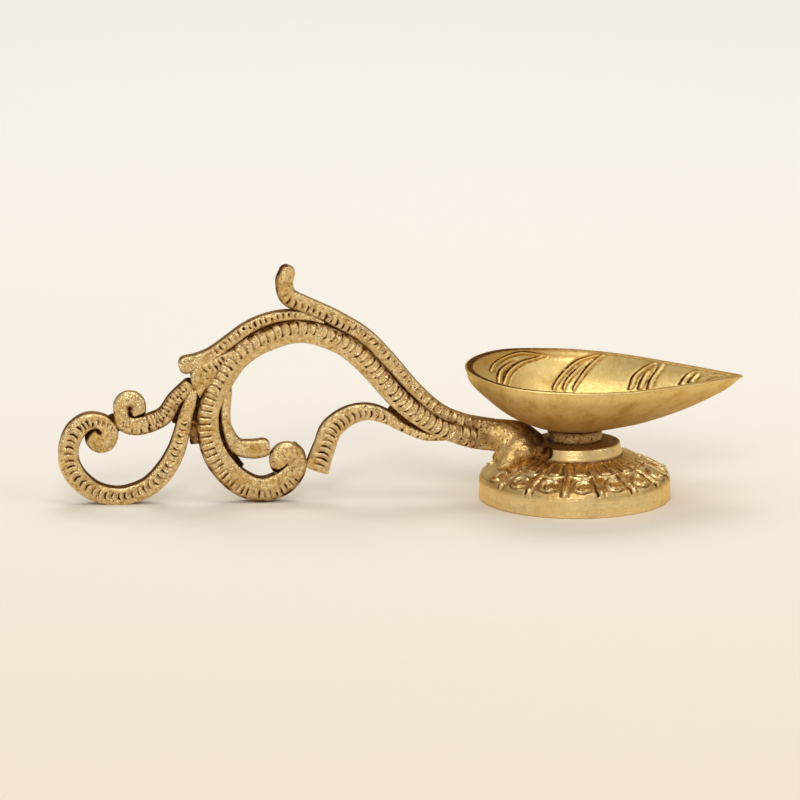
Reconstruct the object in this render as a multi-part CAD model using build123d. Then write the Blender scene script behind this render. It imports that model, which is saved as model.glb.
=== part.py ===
"""Cast-brass aarti lamp: leaf bowl, lotus base and an openwork scroll handle.

Millimetres, +Z up. The origin is the centre of the base's foot on the table, the leaf's tip points
to +X and the handle reaches to -X, in the plane Y = 0.
"""
from build123d import *
from math import cos, radians, sin, sqrt
import os

# Lotus base
BASE_DIAMETER = 49.7
BAND_HEIGHT = 4.4
FOOT_ROUND = 0.5
DOME_HEIGHT = 11.6
SHOULDER_INSET = 1.4
SHOULDER_RISE = 2.4
BASE_WALL = 2.6
COLLAR_DIAMETER = 24.8
COLLAR_TAPER = 0.7
COLLAR_HEIGHT = 3.4
CROWN_RISE = 0.4
CROWN_THICKNESS = 3.4
PETAL_COUNT = 16
PETAL_RELIEF = 0.45
PETAL_DIAMETER = 5.2
PETAL_LENGTH = 7.6
PETAL_INSET = 4.4
PETAL_FLANK = 60
PETAL_SIDES = 5
BAR_WIDTH = 1.2
BAR_INSET = 3.6
BARE_ANGLE = 15.0

# Neck and fastener
NECK_DIAMETER = 14.3
NECK_HEIGHT = 3.0
BOSS_DIAMETER = 10.0
BOSS_CLEARANCE = 0.1
STUD_DIAMETER = 5.0
STUD_CLEARANCE = 0.25
STUD_BITE = 3.6
STUD_TAIL = 1.2
WASHER_DIAMETER = 10.0
WASHER_THICKNESS = 1.0
NUT_ACROSS_FLATS = 8.0
NUT_HEIGHT = 4.0

# Leaf bowl, measured along the leaf from the neck's axis
HEEL_REACH = 28.6
TIP_REACH = 43.7
BOWL_WIDTH = 56.4
BOWL_DEPTH = 15.1
BOWL_WALL = 2.0
BOWL_TIP_WALL = 3.0
BOWL_FLOOR = 2.4
TIP_WIDTH = 2.6
BOWL_DIP = 2.5

# Scroll handle
STEM_THICKNESS = 5.0
UPPER_THICKNESS = 4.2
BACK_THICKNESS = 4.6
CLASP_THICKNESS = 5.2
SMALL_THICKNESS = 4.4
BIG_THICKNESS = 4.7
INNER_THICKNESS = 4.0
LOWER_THICKNESS = 3.8
WEB_THICKNESS = 2.4
WEB_ROOT = 1.1
WEB_REACH = 2.1
WEB_BEVEL = 0.4
EDGE_BEVEL = 0.8
BEVEL_LIMIT = 0.4
LUMP_BEVEL = 0.55
BALL_SWELL = 0.4
BALL_BEVEL = 1.2
GROOVE_DEPTH = 1.2
STRAND_GAP = 0.4
END_ANGLES = (45, 72)

# Shapes as shares of a length: the leaf's side from heel to tip with the share of its run at each
# point, and the hull's heel, tip and width at each depth
LEAF_SIDE = [(0.12, 0.80), (0.34, 1.0), (0.56, 0.885), (0.79, 0.49)]
LEAF_SHARES = [0.0, 0.24, 0.44, 0.60, 0.80, 1.0]
LEAF_TIP_SLOPE = (1.0, -0.80)
HULL_LEVELS = [
    (0.0, 1.0, 1.0, 1.0), (0.25, 0.945, 0.895, 0.97), (0.50, 0.795, 0.734, 0.868),
    (0.74, 0.615, 0.545, 0.665), (0.92, 0.39, 0.36, 0.40), (1.0, 0.18, 0.18, 0.17),
]

# Heights that follow from the sizes above
COLLAR_TOP = DOME_HEIGHT + COLLAR_HEIGHT
NECK_FOOT = COLLAR_TOP + CROWN_RISE
NECK_TOP = NECK_FOOT + NECK_HEIGHT
CROWN_CEILING = NECK_FOOT - CROWN_THICKNESS
RIM_HEIGHT = NECK_TOP + BOWL_DEPTH

# Sides of a strand, seen from the front along its run
LEFT = 1
RIGHT = -1

# Strand centrelines of the handle, as (reach, height, width). Reach runs outwards from the base's
# edge and height runs up from the foot of the collar. The brazed lump adds its thickness.
STEM = [
    (-11.0, 3.6, 5.0), (0.0, 4.6, 5.6), (7.8, 6.6, 4.9), (14.3, 9.9, 5.2), (21.5, 15.8, 5.3),
    (29.8, 25.4, 5.7), (36.5, 30.5, 5.6), (45.8, 33.5, 5.8), (55.0, 31.4, 5.9), (62.1, 27.0, 5.9),
    (66.6, 20.6, 5.7), (69.6, 14.5, 5.5), (70.3, 9.0, 5.6), (69.4, 3.5, 6.1), (66.8, -1.5, 6.5),
    (62.2, -6.2, 6.4), (56.8, -8.2, 6.0), (51.5, -6.8, 6.2), (47.9, -3.4, 5.4), (46.9, 0.2, 3.8),
    (48.2, 2.7, 2.4),
]
STEM_BALL = (49.9, -0.6, 9.3)
UPPER_STRAND = [
    (-9.0, 6.9, 2.4), (-3.9, 7.9, 2.6), (3.9, 9.1, 3.3), (10.4, 12.0, 3.4), (16.9, 17.8, 3.6),
    (23.3, 25.2, 4.0), (29.8, 31.9, 4.1), (37.5, 36.7, 4.1), (43.9, 39.7, 4.2), (49.2, 42.3, 4.6),
    (50.4, 46.0, 4.6), (49.7, 48.8, 4.2),
]
BACK_STRAND = [
    (46.2, 37.3, 2.0), (51.4, 37.4, 2.6), (56.3, 36.1, 2.8), (60.7, 33.8, 3.1), (65.1, 30.5, 3.2),
    (69.2, 27.6, 3.2), (73.1, 25.9, 3.4), (76.1, 25.5, 3.4),
]
CLASP_LEAF = [
    (75.6, 23.6), (70.6, 26.6), (65.6, 28.6), (66.0, 24.4), (69.2, 20.0), (72.9, 17.2), (75.2, 19.8),
]
SMALL_CURL = [
    (75.0, 19.6, 3.4), (78.8, 15.8, 3.7), (81.4, 11.7, 4.3), (85.0, 9.8, 4.6), (88.9, 9.0, 4.6),
    (92.0, 9.9, 4.2), (93.3, 12.4, 2.8),
]
SMALL_BALL = (90.4, 13.8, 8.6)
BIG_CURL = [
    (74.9, 15.7, 2.6), (76.1, 11.5, 3.6), (77.2, 6.5, 4.1), (78.7, 1.9, 4.5), (81.5, -3.0, 4.9),
    (86.1, -7.4, 4.7), (92.7, -9.5, 4.5), (98.9, -8.5, 4.7), (103.7, -5.0, 5.2), (106.1, -0.6, 5.4),
    (106.1, 4.0, 5.2), (104.4, 7.9, 5.1), (101.2, 10.3, 4.3), (97.6, 10.2, 3.6), (95.0, 8.4, 2.8),
    (94.4, 6.0, 2.0),
]
BIG_BALL = (97.8, 6.3, 8.6)
INNER_LEAF = [
    (65.7, 16.1, 2.8), (66.1, 12.4, 2.8), (65.6, 7.7, 2.9), (63.2, 3.3, 4.1), (59.0, 2.4, 4.7),
    (56.1, 2.7, 4.6),
]
LOWER_LEAF = [
    (42.3, -3.2, 6.4), (40.2, 2.8, 5.7), (38.4, 7.3, 5.6), (34.2, 10.7, 4.9), (29.3, 11.9, 4.2),
    (24.1, 10.8, 3.9), (19.3, 8.2, 3.6), (13.5, 5.3, 2.8), (7.6, 3.8, 2.2),
]
LUMP = [
    (3.0, 5.6, 5.0, 5.6), (-3.0, 4.8, 9.0, 8.8), (-8.5, 3.6, 11.4, 12.0), (-13.0, 3.1, 7.8, 10.0),
    (-15.4, 3.6, 4.4, 6.0),
]
CLASP_WEB = [(73.2, 21.0, 5.4), (73.6, 16.0, 5.0), (73.4, 10.0, 4.6), (73.2, 4.0, 4.8)]

# Grooves that wind each curl's end into a spiral
SCROLL_GROOVES = [
    [(102.6, 4.3, 1.2), (101.8, 6.4, 1.2), (100.5, 7.9, 1.0), (99.2, 8.4, 0.9), (98.1, 7.4, 0.7)],
    [(86.3, 12.1, 0.9), (87.8, 11.6, 0.9), (89.4, 11.2, 0.9), (90.4, 12.4, 0.8), (90.4, 13.8, 0.7)],
    [(53.8, -3.0, 1.0), (51.8, -3.2, 0.9), (49.9, -1.9, 0.7)],
]


def revolved(profile: list) -> Part:
    """Turn a closed profile of curves in the XZ plane once round the lamp's axis."""
    return revolve(Face(Wire(profile)), axis=Axis.Z, revolution_arc=360)


def chain(points: list) -> list:
    """Straight edges through points given as (radius, height)."""
    corners = [Vector(r, 0, z) for r, z in points]
    return [Line(a, b) for a, b in zip(corners, corners[1:])]


def crest_height(radius: float, depth: float = 0) -> float:
    """Height of the dome's crest at a radius, or of a surface a depth below it.

    The crest is part of a sphere about the lamp's axis, from the shoulder up to the collar.
    """
    edge = BASE_DIAMETER / 2 - SHOULDER_INSET
    edge_height = BAND_HEIGHT + SHOULDER_RISE
    collar = COLLAR_DIAMETER / 2
    fall = DOME_HEIGHT - edge_height
    centre = (collar ** 2 + DOME_HEIGHT ** 2 - edge ** 2 - edge_height ** 2) / (2 * fall)
    sphere = sqrt(collar ** 2 + (DOME_HEIGHT - centre) ** 2)
    return centre + sqrt((sphere - depth) ** 2 - radius ** 2)


def crest_arc(outer: float, inner: float, depth: float = 0) -> Edge:
    """The crest's curve from an outer to an inner radius, or one a depth below it."""
    radii = (outer, (outer + inner) / 2, inner)
    return ThreePointArc(*[Vector(radius, 0, crest_height(radius, depth)) for radius in radii])


def petal() -> Part:
    """One raised petal with a faceted round end near the shoulder and a point towards the collar."""
    middle = BASE_DIAMETER / 2 - PETAL_INSET
    slope = crest_arc(middle, COLLAR_DIAMETER / 2) % 0
    seat = Plane((middle, 0, crest_height(middle)), x_dir=slope, z_dir=(slope.Z, 0, -slope.X))
    radius = PETAL_DIAMETER / 2
    corners = [(PETAL_LENGTH - radius, 0)]
    for index in range(PETAL_SIDES + 1):
        angle = radians(PETAL_FLANK + index * (360 - 2 * PETAL_FLANK) / PETAL_SIDES)
        corners.append((radius * cos(angle), radius * sin(angle)))
    outline = make_face(Polyline(*corners, close=True))
    return extrude(seat * outline, amount=PETAL_RELIEF, both=True)


def petal_bar() -> Part:
    """The raised bar between two petals, which follows the dome and ends at the band."""
    turn = BASE_DIAMETER / 2 - SHOULDER_INSET
    inner = COLLAR_DIAMETER / 2 + BAR_INSET
    outline = Polyline(
        (inner, 0, crest_height(inner, -PETAL_RELIEF)), (turn, 0, crest_height(turn, -PETAL_RELIEF)),
        (BASE_DIAMETER / 2, 0, BAND_HEIGHT), (inner, 0, BAND_HEIGHT), close=True,
    )
    return extrude(make_face(outline), amount=BAR_WIDTH / 2, dir=(0, 1, 0), both=True)


def base_block() -> Part:
    """The base's outer form as if it were solid: band, dome, petals, collar and flat crown."""
    radius = BASE_DIAMETER / 2
    collar = COLLAR_DIAMETER / 2
    turn = Vector(radius - SHOULDER_INSET, 0, BAND_HEIGHT + SHOULDER_RISE)
    outline = [
        Line((radius, 0, FOOT_ROUND), (radius, 0, BAND_HEIGHT)),
        TangentArc((radius, 0, BAND_HEIGHT), turn, tangent=(0, 0, 1)),
        crest_arc(turn.X, collar),
    ]
    outline += chain([
        (collar, DOME_HEIGHT), (collar - COLLAR_TAPER, COLLAR_TOP), (NECK_DIAMETER / 2, NECK_FOOT),
        (0, NECK_FOOT), (0, 0), (radius - FOOT_ROUND, 0),
    ])
    outline.append(TangentArc((radius - FOOT_ROUND, 0, 0), (radius, 0, FOOT_ROUND), tangent=(1, 0, 0)))
    step = 360 / PETAL_COUNT
    relief = []
    for index in range(PETAL_COUNT):
        for angle, stamp in ((index * step, petal()), ((index + 0.5) * step, petal_bar())):
            if abs(angle - 180) > BARE_ANGLE:
                relief.append(Rot(0, 0, angle) * stamp)
    return revolved(outline) + relief


def lotus_base(block: Part) -> Part:
    """Hollow casting: the base's outer form less the hollow under it and the stud's hole."""
    inside = BASE_DIAMETER / 2 - BASE_WALL
    collar = COLLAR_DIAMETER / 2
    pocket = WASHER_DIAMETER / 2 + BASE_WALL
    hollow = [crest_arc(inside, collar, BASE_WALL)]
    hollow += chain([
        (collar, crest_height(collar, BASE_WALL)), (pocket, CROWN_CEILING), (0, CROWN_CEILING),
        (0, -BASE_WALL), (inside, -BASE_WALL), (inside, crest_height(inside, BASE_WALL)),
    ])
    hole = Cylinder(STUD_DIAMETER / 2 + STUD_CLEARANCE, 2 * NECK_FOOT)
    return block - revolved(hollow) - hole


def leaf_wire(heel: float, tip: float, half_width: float, height: float) -> Wire:
    """Closed leaf outline with a round heel and a narrow blunt tip, at one height."""
    length = heel + tip
    blunt = TIP_WIDTH / 2 * half_width / (BOWL_WIDTH / 2)
    sides = []
    for side in (1, -1):
        points = [Vector(-heel, 0, height)]
        points += [Vector(-heel + u * length, side * v * half_width, height) for u, v in LEAF_SIDE]
        points += [Vector(tip, side * blunt, height)]
        slope = (LEAF_TIP_SLOPE[0], side * LEAF_TIP_SLOPE[1], 0)
        sides.append(Edge.make_spline(points, tangents=[(0, side, 0), slope], parameters=LEAF_SHARES))
    return Wire([sides[0], Line(sides[0] @ 1, sides[1] @ 1), sides[1]])


def leaf_hull(wall: float, tip_wall: float, floor: float) -> Part:
    """Solid leaf hull below a level rim at height zero, smaller by its walls and floor."""
    wires = []
    for drop, heel, tip, width in HULL_LEVELS:
        wires.append(leaf_wire(
            heel * (HEEL_REACH - wall), tip * (TIP_REACH - tip_wall),
            width * (BOWL_WIDTH / 2 - wall), -drop * (BOWL_DEPTH - floor),
        ))
    return Solid.make_loft(wires)


def leaf_bowl() -> Part:
    """Cast leaf bowl that dips to its tip, with a faced pad and a tapped boss beneath it."""
    dip = Rot(0, BOWL_DIP, 0)
    rim = Pos(0, 0, RIM_HEIGHT)
    outer = rim * dip * leaf_hull(0, 0, 0)
    inner = rim * dip * leaf_hull(BOWL_WALL, BOWL_TIP_WALL, BOWL_FLOOR)
    low = (Align.CENTER, Align.CENTER, Align.MIN)
    pad = Pos(0, 0, NECK_TOP) * Cylinder(NECK_DIAMETER / 2, BOWL_FLOOR, align=low)
    boss = Pos(0, 0, NECK_FOOT) * Cylinder(BOSS_DIAMETER / 2, NECK_HEIGHT + BOWL_FLOOR, align=low)
    bore = Pos(0, 0, NECK_FOOT) * Cylinder(STUD_DIAMETER / 2, STUD_BITE, align=low)
    below = Pos(0, 0, NECK_TOP) * Box(
        2 * TIP_REACH, 2 * BOWL_WIDTH, BOWL_DEPTH, align=(Align.CENTER, Align.CENTER, Align.MAX),
    )
    return (outer - below) + pad + boss - inner - bore


def neck_ring() -> Part:
    """Turned ring round the bowl's boss, between the base's crown and the bowl's pad."""
    low = (Align.CENTER, Align.CENTER, Align.MIN)
    ring = Cylinder(NECK_DIAMETER / 2, NECK_HEIGHT, align=low)
    ring -= Cylinder(BOSS_DIAMETER / 2 + BOSS_CLEARANCE, NECK_HEIGHT, align=low)
    return Pos(0, 0, NECK_FOOT) * ring


def bowl_stud() -> Part:
    """Stud from the bowl's boss down through the base's crown, the washer and the nut."""
    foot = CROWN_CEILING - WASHER_THICKNESS - NUT_HEIGHT - STUD_TAIL
    length = NECK_FOOT + STUD_BITE - foot
    low = (Align.CENTER, Align.CENTER, Align.MIN)
    return Pos(0, 0, foot) * Cylinder(STUD_DIAMETER / 2, length, align=low)


def plain_washer() -> Part:
    """Flat washer against the underside of the base's crown."""
    high = (Align.CENTER, Align.CENTER, Align.MAX)
    washer = Cylinder(WASHER_DIAMETER / 2, WASHER_THICKNESS, align=high)
    washer -= Cylinder(STUD_DIAMETER / 2 + STUD_CLEARANCE, 3 * WASHER_THICKNESS)
    return Pos(0, 0, CROWN_CEILING) * washer


def hex_nut() -> Part:
    """Hexagon nut under the washer."""
    outline = RegularPolygon(NUT_ACROSS_FLATS / 2, 6, major_radius=False)
    nut = extrude(outline - Circle(STUD_DIAMETER / 2), amount=-NUT_HEIGHT)
    return Pos(0, 0, CROWN_CEILING - WASHER_THICKNESS) * nut


def placed(reach: float, height: float) -> Vector:
    """A point of the handle in the lamp's frame."""
    return Vector(-BASE_DIAMETER / 2 - reach, 0, DOME_HEIGHT + height)


def frames(strand: list) -> list:
    """Points of a strand with their tangents and half widths."""
    points = [placed(reach, height) for reach, height, width in strand]
    result = []
    for index, point in enumerate(points):
        ahead = points[min(index + 1, len(points) - 1)]
        behind = points[max(index - 1, 0)]
        result.append((point, (ahead - behind).normalized(), strand[index][2] / 2))
    return result


def round_end(frame: tuple, outwards: int) -> list:
    """Narrowing frames beyond a strand's last one, so that its end is round."""
    point, tangent, half = frame
    result = []
    for angle in END_ANGLES:
        ahead = outwards * half * sin(radians(angle))
        result.append((point + tangent * ahead, tangent, half * cos(radians(angle))))
    return result


def section(frame: tuple, thickness: float, bevel: float) -> Wire:
    """Bevelled eight-sided section of a strand, square to its tangent."""
    point, tangent, half = frame
    depth = thickness / 2
    side = Vector(-tangent.Z, 0, tangent.X)
    corners = [(half, depth - bevel), (half - bevel, depth), (bevel - half, depth),
               (-half, depth - bevel), (-half, bevel - depth), (bevel - half, -depth),
               (half - bevel, -depth), (half, bevel - depth)]
    return Wire.make_polygon([point + side * a + Vector(0, b, 0) for a, b in corners])


def bar(strand: list, thickness: float, gap: float = 0, round_start: bool = False,
        round_stop: bool = False) -> Solid:
    """One strand as a bevelled bar lofted along its centreline, with half a groove on each side."""
    line = [(point, tangent, half - gap / 2) for point, tangent, half in frames(strand)]
    if round_start:
        line = round_end(line[0], -1)[::-1] + line
    if round_stop:
        line = line + round_end(line[-1], 1)
    wires = [section(frame, thickness, min(EDGE_BEVEL, BEVEL_LIMIT * frame[2])) for frame in line]
    return Solid.make_loft(wires)


def web(strand: list, hand: int) -> Solid:
    """Thin web along one edge of a strand, across the groove to its neighbour."""
    wires = []
    for point, tangent, half in frames(strand):
        side = Vector(-tangent.Z, 0, tangent.X) * hand
        middle = point + side * (half + (WEB_REACH - WEB_ROOT) / 2)
        frame = (middle, tangent, (WEB_REACH + WEB_ROOT) / 2)
        wires.append(section(frame, WEB_THICKNESS, WEB_BEVEL))
    return Solid.make_loft(wires)


def button(centre: Vector, diameter: float, thickness: float, bevel: float) -> Part:
    """Round, flat ball at the end of a curl with bevelled edges, turned about an axis along Y."""
    radius = diameter / 2
    depth = thickness / 2
    corners = [(0, -depth), (radius - bevel, -depth), (radius, bevel - depth), (radius, depth - bevel),
               (radius - bevel, depth), (0, depth)]
    outline = Wire.make_polygon([centre + Vector(x, y, 0) for x, y in corners])
    return revolve(Face(outline), axis=Axis(centre, (0, 1, 0)), revolution_arc=360)


def groove_cut(groove: list) -> Part:
    """Shallow spiral cuts in both faces of a curl's end."""
    rails = ([], [])
    for point, tangent, half in frames(groove):
        side = Vector(-tangent.Z, 0, tangent.X)
        rails[0].append(point + side * half)
        rails[1].append(point - side * half)
    left = Spline(*rails[0])
    right = Spline(*rails[1])
    outline = Face(Wire([left, Line(left @ 1, right @ 1), right, Line(right @ 0, left @ 0)]))
    cut = extrude(outline, amount=BIG_THICKNESS, dir=(0, 1, 0), both=True)
    core = Pos(placed(groove[0][0], groove[0][1])) * Box(
        2 * BIG_BALL[2], BIG_THICKNESS - 2 * GROOVE_DEPTH, 2 * BIG_BALL[2],
    )
    return cut - core


def scroll_handle(block: Part) -> Part:
    """One openwork casting of strands, leaves and curls, with its root coped to the dome."""
    solids = [
        bar(STEM, STEM_THICKNESS, STRAND_GAP),
        bar(UPPER_STRAND, UPPER_THICKNESS, STRAND_GAP, round_stop=True),
        bar(BACK_STRAND, BACK_THICKNESS, STRAND_GAP, round_start=True, round_stop=True),
        bar(SMALL_CURL, SMALL_THICKNESS),
        bar(BIG_CURL, BIG_THICKNESS),
        bar(INNER_LEAF, INNER_THICKNESS, STRAND_GAP, round_start=True, round_stop=True),
        bar(LOWER_LEAF, LOWER_THICKNESS),
        bar(CLASP_WEB, WEB_THICKNESS),
        web(UPPER_STRAND[:-3], LEFT),
        web(BACK_STRAND[:-1], LEFT),
        web(INNER_LEAF[:-2], RIGHT),
    ]
    corners = [placed(reach, height) for reach, height in CLASP_LEAF]
    clasp = Face(Wire.make_polygon(corners))
    solids.append(extrude(clasp, amount=CLASP_THICKNESS / 2, dir=(0, 1, 0), both=True))
    for spec, thickness in ((STEM_BALL, STEM_THICKNESS), (SMALL_BALL, SMALL_THICKNESS),
                            (BIG_BALL, BIG_THICKNESS)):
        reach, height, diameter = spec
        solids.append(button(placed(reach, height), diameter, thickness + BALL_SWELL, BALL_BEVEL))
    casting = solids[0].fuse(*solids[1:])
    for groove in SCROLL_GROOVES:
        casting -= groove_cut(groove)
    table = Pos(placed(BIG_BALL[0], -DOME_HEIGHT)) * Box(
        BIG_BALL[0], BASE_DIAMETER, DOME_HEIGHT, align=(Align.CENTER, Align.CENTER, Align.MAX),
    )
    return casting - table - block


def handle_braze(handle: Part, block: Part) -> Part:
    """Smooth lump of filler metal round the handle's root, on the dome's shoulder."""
    wires = []
    for frame, thickness in zip(frames([size[:3] for size in LUMP]), [size[3] for size in LUMP]):
        wires.append(section(frame, thickness, LUMP_BEVEL * frame[2]))
    return Solid.make_loft(wires) - handle - block


def main() -> None:
    os.makedirs("parts", exist_ok=True)
    block = base_block()
    handle = scroll_handle(block)
    parts = {
        "lotus_base": lotus_base(block),
        "neck_ring": neck_ring(),
        "leaf_bowl": leaf_bowl(),
        "bowl_stud": bowl_stud(),
        "plain_washer": plain_washer(),
        "hex_nut": hex_nut(),
        "scroll_handle": handle,
        "handle_braze": handle_braze(handle, block),
    }
    for name, shape in parts.items():
        export_step(shape, f"parts/{name}.step")
        print(name, round(shape.volume, 1))


main()
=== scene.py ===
"""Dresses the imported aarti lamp: scroll handle, leaf bowl and lotus base of aged cast brass.

Sizes are written in millimetres in the lamp's own frame and become metres when a mesh is made. The
leaf's tip points to +X, the handle reaches to -X and the foot stands on the table at Z = 0.
"""
import logging
import math
from bisect import bisect_left
from collections.abc import Callable
from dataclasses import dataclass, field
from enum import Enum
from itertools import accumulate
from typing import NamedTuple

import bmesh
import bpy
from mathutils import Matrix, Vector, geometry, noise


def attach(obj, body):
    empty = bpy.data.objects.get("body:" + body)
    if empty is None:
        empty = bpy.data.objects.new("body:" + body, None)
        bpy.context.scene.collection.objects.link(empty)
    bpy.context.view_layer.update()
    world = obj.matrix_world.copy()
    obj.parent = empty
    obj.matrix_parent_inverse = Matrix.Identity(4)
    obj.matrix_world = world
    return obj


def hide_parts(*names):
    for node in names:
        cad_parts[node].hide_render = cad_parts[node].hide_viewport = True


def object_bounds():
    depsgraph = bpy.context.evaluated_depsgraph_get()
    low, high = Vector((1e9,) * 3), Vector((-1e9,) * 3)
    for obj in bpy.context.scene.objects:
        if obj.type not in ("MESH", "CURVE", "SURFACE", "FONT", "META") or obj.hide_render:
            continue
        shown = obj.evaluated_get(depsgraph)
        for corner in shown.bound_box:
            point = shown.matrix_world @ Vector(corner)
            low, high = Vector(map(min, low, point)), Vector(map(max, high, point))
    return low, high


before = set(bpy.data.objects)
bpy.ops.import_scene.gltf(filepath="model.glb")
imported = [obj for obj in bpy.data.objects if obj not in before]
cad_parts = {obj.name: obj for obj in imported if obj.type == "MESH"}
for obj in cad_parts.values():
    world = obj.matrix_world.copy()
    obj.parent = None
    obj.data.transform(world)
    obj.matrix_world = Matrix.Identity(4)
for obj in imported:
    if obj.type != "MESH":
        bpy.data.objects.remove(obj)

LOG = logging.getLogger("aarti_lamp")
MM = 0.001
MERGE = 1e-7
BODY = "root"
CAD_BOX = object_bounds()

Socket = bpy.types.NodeSocket
Material = bpy.types.Material
Piece = bpy.types.Object
Colour = tuple[float, float, float]
Knot = tuple[float, float, float]
Fade = tuple[float, float, float, float]
Spot = tuple[Vector, float, float]


class Mark(Enum):
    """How the chisel dressed a strand's faces."""

    RIBS = "ribs"
    BARS = "bars"
    CRESCENTS = "crescents"
    TICKS = "ticks"


def eased(low: float, high: float, value: float) -> float:
    """Rise smoothly from 0 at low to 1 at high."""
    share = min(max((value - low) / (high - low), 0.0), 1.0)
    return share * share * (3.0 - 2.0 * share)


def between(fade: Fade, value: float) -> float:
    """Give 1 between the middle two numbers of a fade and 0 beyond its outer two."""
    return eased(fade[0], fade[1], value) * eased(fade[3], fade[2], value)


def hump(offset: float, width: float) -> float:
    """Give the height of a smooth ridge of height 1 at an offset from its middle."""
    return math.exp(-(offset / width) ** 2)


def ripple(place: Vector, scale: float = 1.0) -> float:
    """Read a smooth uneven height, between about -1 and 1."""
    return noise.noise(place * scale)


def steps_to(start: float, stop: float, count: int) -> list[float]:
    """Give even steps from start to stop, without start itself."""
    return [start + (stop - start) * step / count for step in range(1, count + 1)]


def run_through(knots: list[Vector], first: Vector | None = None, last: Vector | None = None,
                steps: int = 24) -> list[Vector]:
    """Draw a smooth curve through knots.

    Args:
        knots: The points that the curve passes.
        first: Direction at the first knot, as long as the curve's speed there.
        last: Direction at the last knot.
        steps: Points drawn on each span.

    Returns:
        The curve's points from the first knot to the last.
    """
    slopes = [(ahead - behind) / 2.0 for ahead, behind in zip(knots[1:] + knots[-1:], knots[:1] + knots)]
    slopes[0] = knots[1] - knots[0] if first is None else first
    slopes[-1] = knots[-1] - knots[-2] if last is None else last
    curve = [knots[0]]
    for start, stop, out, into in zip(knots, knots[1:], slopes, slopes[1:]):
        span = geometry.interpolate_bezier(start, start + out / 3.0, stop - into / 3.0, stop, steps + 1)
        curve += [Vector(point) for point in span[1:]]
    return curve


def even_steps(curve: list[Vector], spacing: float) -> list[tuple[float, Vector]]:
    """Walk along a curve in even steps, measured in its first two coordinates.

    Args:
        curve: The curve's points.
        spacing: Length of a step.

    Returns:
        Pairs of the distance walked and the point there.
    """
    gaps = [math.dist(here.xy, there.xy) for here, there in zip(curve, curve[1:])]
    lengths = list(accumulate(gaps, initial=0.0))
    walked = []
    for distance in [0.0] + steps_to(0.0, lengths[-1], max(round(lengths[-1] / spacing), 2)):
        index = min(max(bisect_left(lengths, distance) - 1, 0), len(gaps) - 1)
        share = (distance - lengths[index]) / gaps[index]
        walked.append((distance, curve[index].lerp(curve[index + 1], min(max(share, 0.0), 1.0))))
    return walked


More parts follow.
